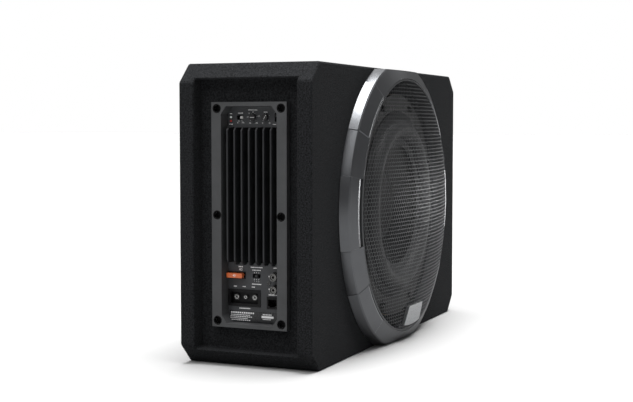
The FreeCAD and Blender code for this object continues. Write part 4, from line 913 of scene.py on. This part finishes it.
def painted_shade_wells():
    """Black liners in the deep screw recesses of the amplifier's plate: painted shade for the shadow in
    each recess.
    """
    heads = np.array([v.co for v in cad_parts["amp_screws"].data.vertices])
    heads = heads[heads[:, 0] < heads[:, 0].min() + MM]
    middle_y, middle_z = face_middle(heads)
    third = (heads[:, 2].max() - middle_z) / 2
    profile = [(WELL_RIM_R, PLATE_X - WELL_PROUD), (WELL_BORE_R, PLATE_X - WELL_PROUD),
               (WELL_BORE_R, PLATE_X + WELL_DEPTH), (WELL_R, PLATE_X + WELL_DEPTH),
               (WELL_R, PLATE_X + WELL_SUNK), (WELL_RIM_R, PLATE_X + WELL_SUNK)]
    # Each liner paints the shadow deep in its recess.
    for side, left in (("left", True), ("right", False)):
        for row, level in ((-1, "low"), (0, "middle"), (1, "high")):
            near = np.abs(heads[:, 2] - middle_z - 2 * third * row) < third
            group = heads[near & ((heads[:, 1] > middle_y) == left)]
            turned("shade_well_" + level + "_" + side, *face_middle(group), profile, "black_screw", "black_screw",
                   "root")


BEVEL_OUT, BEVEL_IN = 0.72, 0.3
BEVEL_PROUD = 0.15 * MM
BEVEL_SUNK = 0.2 * MM


def screw_socket_glints():
    """Near-white rings round the sockets of the clamp screws: painted highlight for the glint off each
    socket's bevel.
    """
    for use in ("earth", "remote", "supply"):
        node = use + "_screw"
        low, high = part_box(node)
        reach = (high.z - low.z) / 2
        at = middle(node)
        profile = [(reach * BEVEL_OUT, low.x - BEVEL_PROUD), (reach * BEVEL_IN, low.x + BEVEL_SUNK),
                   (reach * BEVEL_OUT, low.x + BEVEL_SUNK)]
        turned(node + "_glint_bevel", at.y, at.z, profile, "painted_glint_steel", "plated_steel", use + "_clamp")


LENS_ROOT = 2.0


def light_lenses():
    """Two lenses in the status light holes: domed outside, with a longer root behind the panel's face."""
    low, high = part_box("status_lights")
    radius = (high.y - low.y) / 2
    at_y = (low.y + high.y) / 2
    for name, material, z in (("light_upper", "light_white", high.z - radius),
                              ("light_lower", "light_red", low.z + radius)):
        bm = bmesh.new()
        outward = Matrix.Translation((PANEL_X, at_y, z)) @ Matrix.Rotation(-math.pi / 2, 4, "Y")
        bmesh.ops.create_uvsphere(bm, u_segments=24, v_segments=12, radius=radius, matrix=outward)
        for vert in bm.verts:
            if vert.co.x < PANEL_X:
                vert.co.x = max(vert.co.x, low.x)
            else:
                vert.co.x = PANEL_X + (vert.co.x - PANEL_X) * LENS_ROOT
        piece = from_bmesh(name, bm, material)
        stand_in(piece, "root", "light_lens")
    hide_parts("status_lights")


POINTER_SINK = 0.9 * MM
POINTER_SIZE = Vector((0.5 * MM, 5.4 * MM, 0.85 * MM, 1.0))
POINTER_BEVEL = 0.12 * MM


def knob_pointers():
    """White paint in the adjusters' slots."""
    for body, degrees in (("crossover", 0.0), ("gain", -55.0)):
        node = body + "_knob"
        at = middle(node)
        at.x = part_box(node)[0].x + POINTER_SINK
        turn = Matrix.Rotation(math.radians(degrees), 4, "X")
        bm = bmesh.new()
        bmesh.ops.create_cube(bm, size=1.0,
                              matrix=Matrix.Translation(at) @ turn @ Matrix.Diagonal(POINTER_SIZE))
        piece = from_bmesh(body + "_pointer", bm, "print", smooth=False)
        soften(piece, POINTER_BEVEL)
        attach(piece, body)


def fuse_figures():
    """The rating in raised figures on the fuse's face."""
    y, z = centre("blade_fuse")
    numerals("fuse_rating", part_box("blade_fuse")[0].x, [("40", y, z, FUSE_FIGURE)], "fuse")


# ---- Dress the CAD nodes that show, then the ones inside --------------------------------
# Each node that shows, with its material and the width of its rounded edges in millimetres.
SHOWN = (
    ("grille_badge", "badge", 0.5), ("amp_plate", "amp_plastic", 0.35),
    ("heat_sink", "sink_aluminium", 0.3),
    ("control_panel", "panel", 0.15), ("connector_panel", "panel", 0.15), ("label_plate", "label", 0.12),
    ("amp_screws", "black_screw", 0.25), ("amp_gasket", "foam", 0.1), ("input_screw", "plated_steel", 0.2),
    ("earth_screw", "plated_steel", 0.2), ("remote_screw", "plated_steel", 0.2),
    ("supply_screw", "plated_steel", 0.2), ("switch_bodies", "terminal_plastic", 0.1),
    ("phase_switch_lever", "lever_plastic", 0.2), ("mode_switch_lever", "lever_black", 0.2),
    ("level_switch_lever", "lever_black", 0.2), ("crossover_knob", "knob_plastic", 0.2),
    ("gain_knob", "knob_plastic", 0.2), ("fuse_holder", "terminal_plastic", 0.2),
    ("blade_fuse", "fuse_plastic", 0.3), ("input_block", "terminal_plastic", 0.2),
    ("input_jacks", "jack_nickel", 0.12), ("remote_socket", "terminal_plastic", 0.2),
    ("terminal_block", "terminal_plastic", 0.3), ("driver_frame", "black_steel", 0.4),
    ("driver_screws", "black_steel", 0.3), ("driver_gasket", "foam", 0.0),
)
HIDDEN = {
    "front_baffle": "mdf", "back_board": "mdf", "top_board": "mdf", "bottom_board": "mdf",
    "amp_end_panel": "mdf", "far_end_panel": "mdf", "corner_cleats": "batten", "wadding": "wadding",
    "magnet_boot": "rubber", "coil_former": "former", "voice_coil": "copper", "spider": "spider_cloth",
    "top_plate": "plated_steel", "yoke": "plated_steel", "magnet": "ferrite",
    "driver_terminals": "terminal_plastic", "speaker_lead": "lead_jacket", "control_pots": "pot_metal",
    "circuit_board": "board", "capacitors": "can", "transformer": "winding",
    "power_transistors": "chip", "amp_rear_cover": "cover",
}


def dress_nodes():
    """Give every carried-over CAD node its material."""
    for node, material, width in SHOWN:
        dress(node, material, width * MM)
    for node, material in HIDDEN.items():
        dress(node, material)


# ---- Floor, light and camera -----------------------------------------------------------
# The camera's place in metres, its angles in radians and its focal length in millimetres.
CAMERA_AT = Vector((-1.410, -0.587, 0.263))
CAMERA_YAW = 0.4088
CAMERA_DOWN = 0.0625
LENS = 69.3


def look(yaw, down):
    """Direction of a view, from its angle about Z and how far it looks down, in radians."""
    return Vector((math.cos(yaw) * math.cos(down), math.sin(yaw) * math.cos(down), -math.sin(down)))


def aim(item, direction):
    """Turn a camera or lamp to face along a direction."""
    item.rotation_mode = "QUATERNION"
    item.rotation_quaternion = direction.to_track_quat("-Z", "Y")


def add_camera():
    """Camera that sees the amplifier's end and the front from a little above the middle."""
    data = bpy.data.cameras.new("camera")
    data.lens = LENS
    data.clip_start = 0.05
    data.clip_end = 60.0
    camera = add_object("camera", data)
    camera.location = CAMERA_AT
    aim(camera, look(CAMERA_YAW, CAMERA_DOWN))
    bpy.context.scene.camera = camera


def add_lamp(name, at, target, width, height, watts):
    """A rectangular lamp at one point that faces another."""
    data = bpy.data.lights.new(name, "AREA")
    data.shape = "RECTANGLE"
    data.size = width
    data.size_y = height
    data.energy = watts
    lamp = add_object(name, data)
    lamp.location = at
    aim(lamp, Vector(target) - Vector(at))


FLOOR_TONE = 0.56
FLOOR_BOUNCE = 0.35
FLOOR_REACH = 30.0


def add_floor():
    """Pale studio floor that throws less light back on the object than its own tone would."""
    bm = bmesh.new()
    bmesh.ops.create_grid(bm, x_segments=8, y_segments=8, size=FLOOR_REACH)
    pale = (FLOOR_TONE, FLOOR_TONE, FLOOR_TONE)
    material, tree, bsdf = shader("floor_white", pale, 0.9)
    vary(tree, bsdf, noise(tree, 3.0), 0.3, 0.7, pale, 0.995, 1.005)
    dull = tree.nodes.new("ShaderNodeBsdfDiffuse")
    dull.inputs["Color"].default_value = (FLOOR_BOUNCE, FLOOR_BOUNCE, FLOOR_BOUNCE, 1.0)
    path = tree.nodes.new("ShaderNodeLightPath")
    pick = tree.nodes.new("ShaderNodeMixShader")
    tree.links.new(path.outputs["Is Camera Ray"], pick.inputs["Fac"])
    tree.links.new(dull.outputs["BSDF"], pick.inputs[1])
    tree.links.new(bsdf.outputs["BSDF"], pick.inputs[2])
    tree.links.new(pick.outputs["Shader"], tree.nodes["Material Output"].inputs["Surface"])
    materials["floor"] = material
    from_bmesh("studio_floor", bm, "floor")


WORLD_FILL = 0.13
LEFT_END = (-0.24, 0.0, 0.15)
FRONT = (0.0, -0.12, 0.17)
# Name, direction that it shines from, strength and angle across in degrees.
SKIES = (
    ("overhead", (0.08, -0.08, 1.0), 4.8, 38.0),
    ("left_sky", (-0.7, 0.15, 1.0), 0.9, 60.0),
    ("right_sky", (0.7, 0.3, 1.0), 0.55, 60.0),
)
# Name, place, point that it faces, width and height in metres, and watts.
LAMPS = (
    ("left_fill", (-0.8, 0.15, 0.95), LEFT_END, 0.4, 0.4, 2.4),
    ("right_low", (1.9, -0.8, 0.08), FRONT, 0.5, 0.14, 2.6),
    ("right_high", (2.3, -0.8, 1.4), FRONT, 0.7, 0.7, 0.7),
    ("front_left", (-1.6, -2.7, 0.4), FRONT, 0.3, 0.9, 1.5),
)


def add_sky(name, toward, strength, across):
    """A far, soft panel of light in one direction."""
    data = bpy.data.lights.new(name, "SUN")
    data.energy = strength
    data.angle = math.radians(across)
    aim(add_object(name, data), -Vector(toward))


def add_world():
    """White backdrop for the camera and a dim even fill for everything else."""
    world = bpy.data.worlds.new("studio")
    world.use_nodes = True
    tree = world.node_tree
    back = tree.nodes["Background"]
    back.inputs["Color"].default_value = (1.0, 1.0, 1.0, 1.0)
    path = tree.nodes.new("ShaderNodeLightPath")
    tree.links.new(spread(tree, path.outputs["Is Camera Ray"], 0.0, 1.0, WORLD_FILL, 1.0),
                   back.inputs["Strength"])
    bpy.context.scene.world = world


def add_studio():
    """Backdrop, soft skies and lamps."""
    add_world()
    bpy.context.scene.view_settings.view_transform = "Standard"
    for sky in SKIES:
        add_sky(*sky)
    for lamp in LAMPS:
        add_lamp(*lamp)


add_camera()
carpet_cover()
halo_ring()
grille_mesh()
grille_rim()
surround()
cone()
dust_cap()
dress_nodes()
light_lenses()
painted_shade_wells()
screw_socket_glints()
knob_pointers()
fuse_figures()
control_graphics()
connector_graphics()
label_graphics()
add_floor()
add_studio()
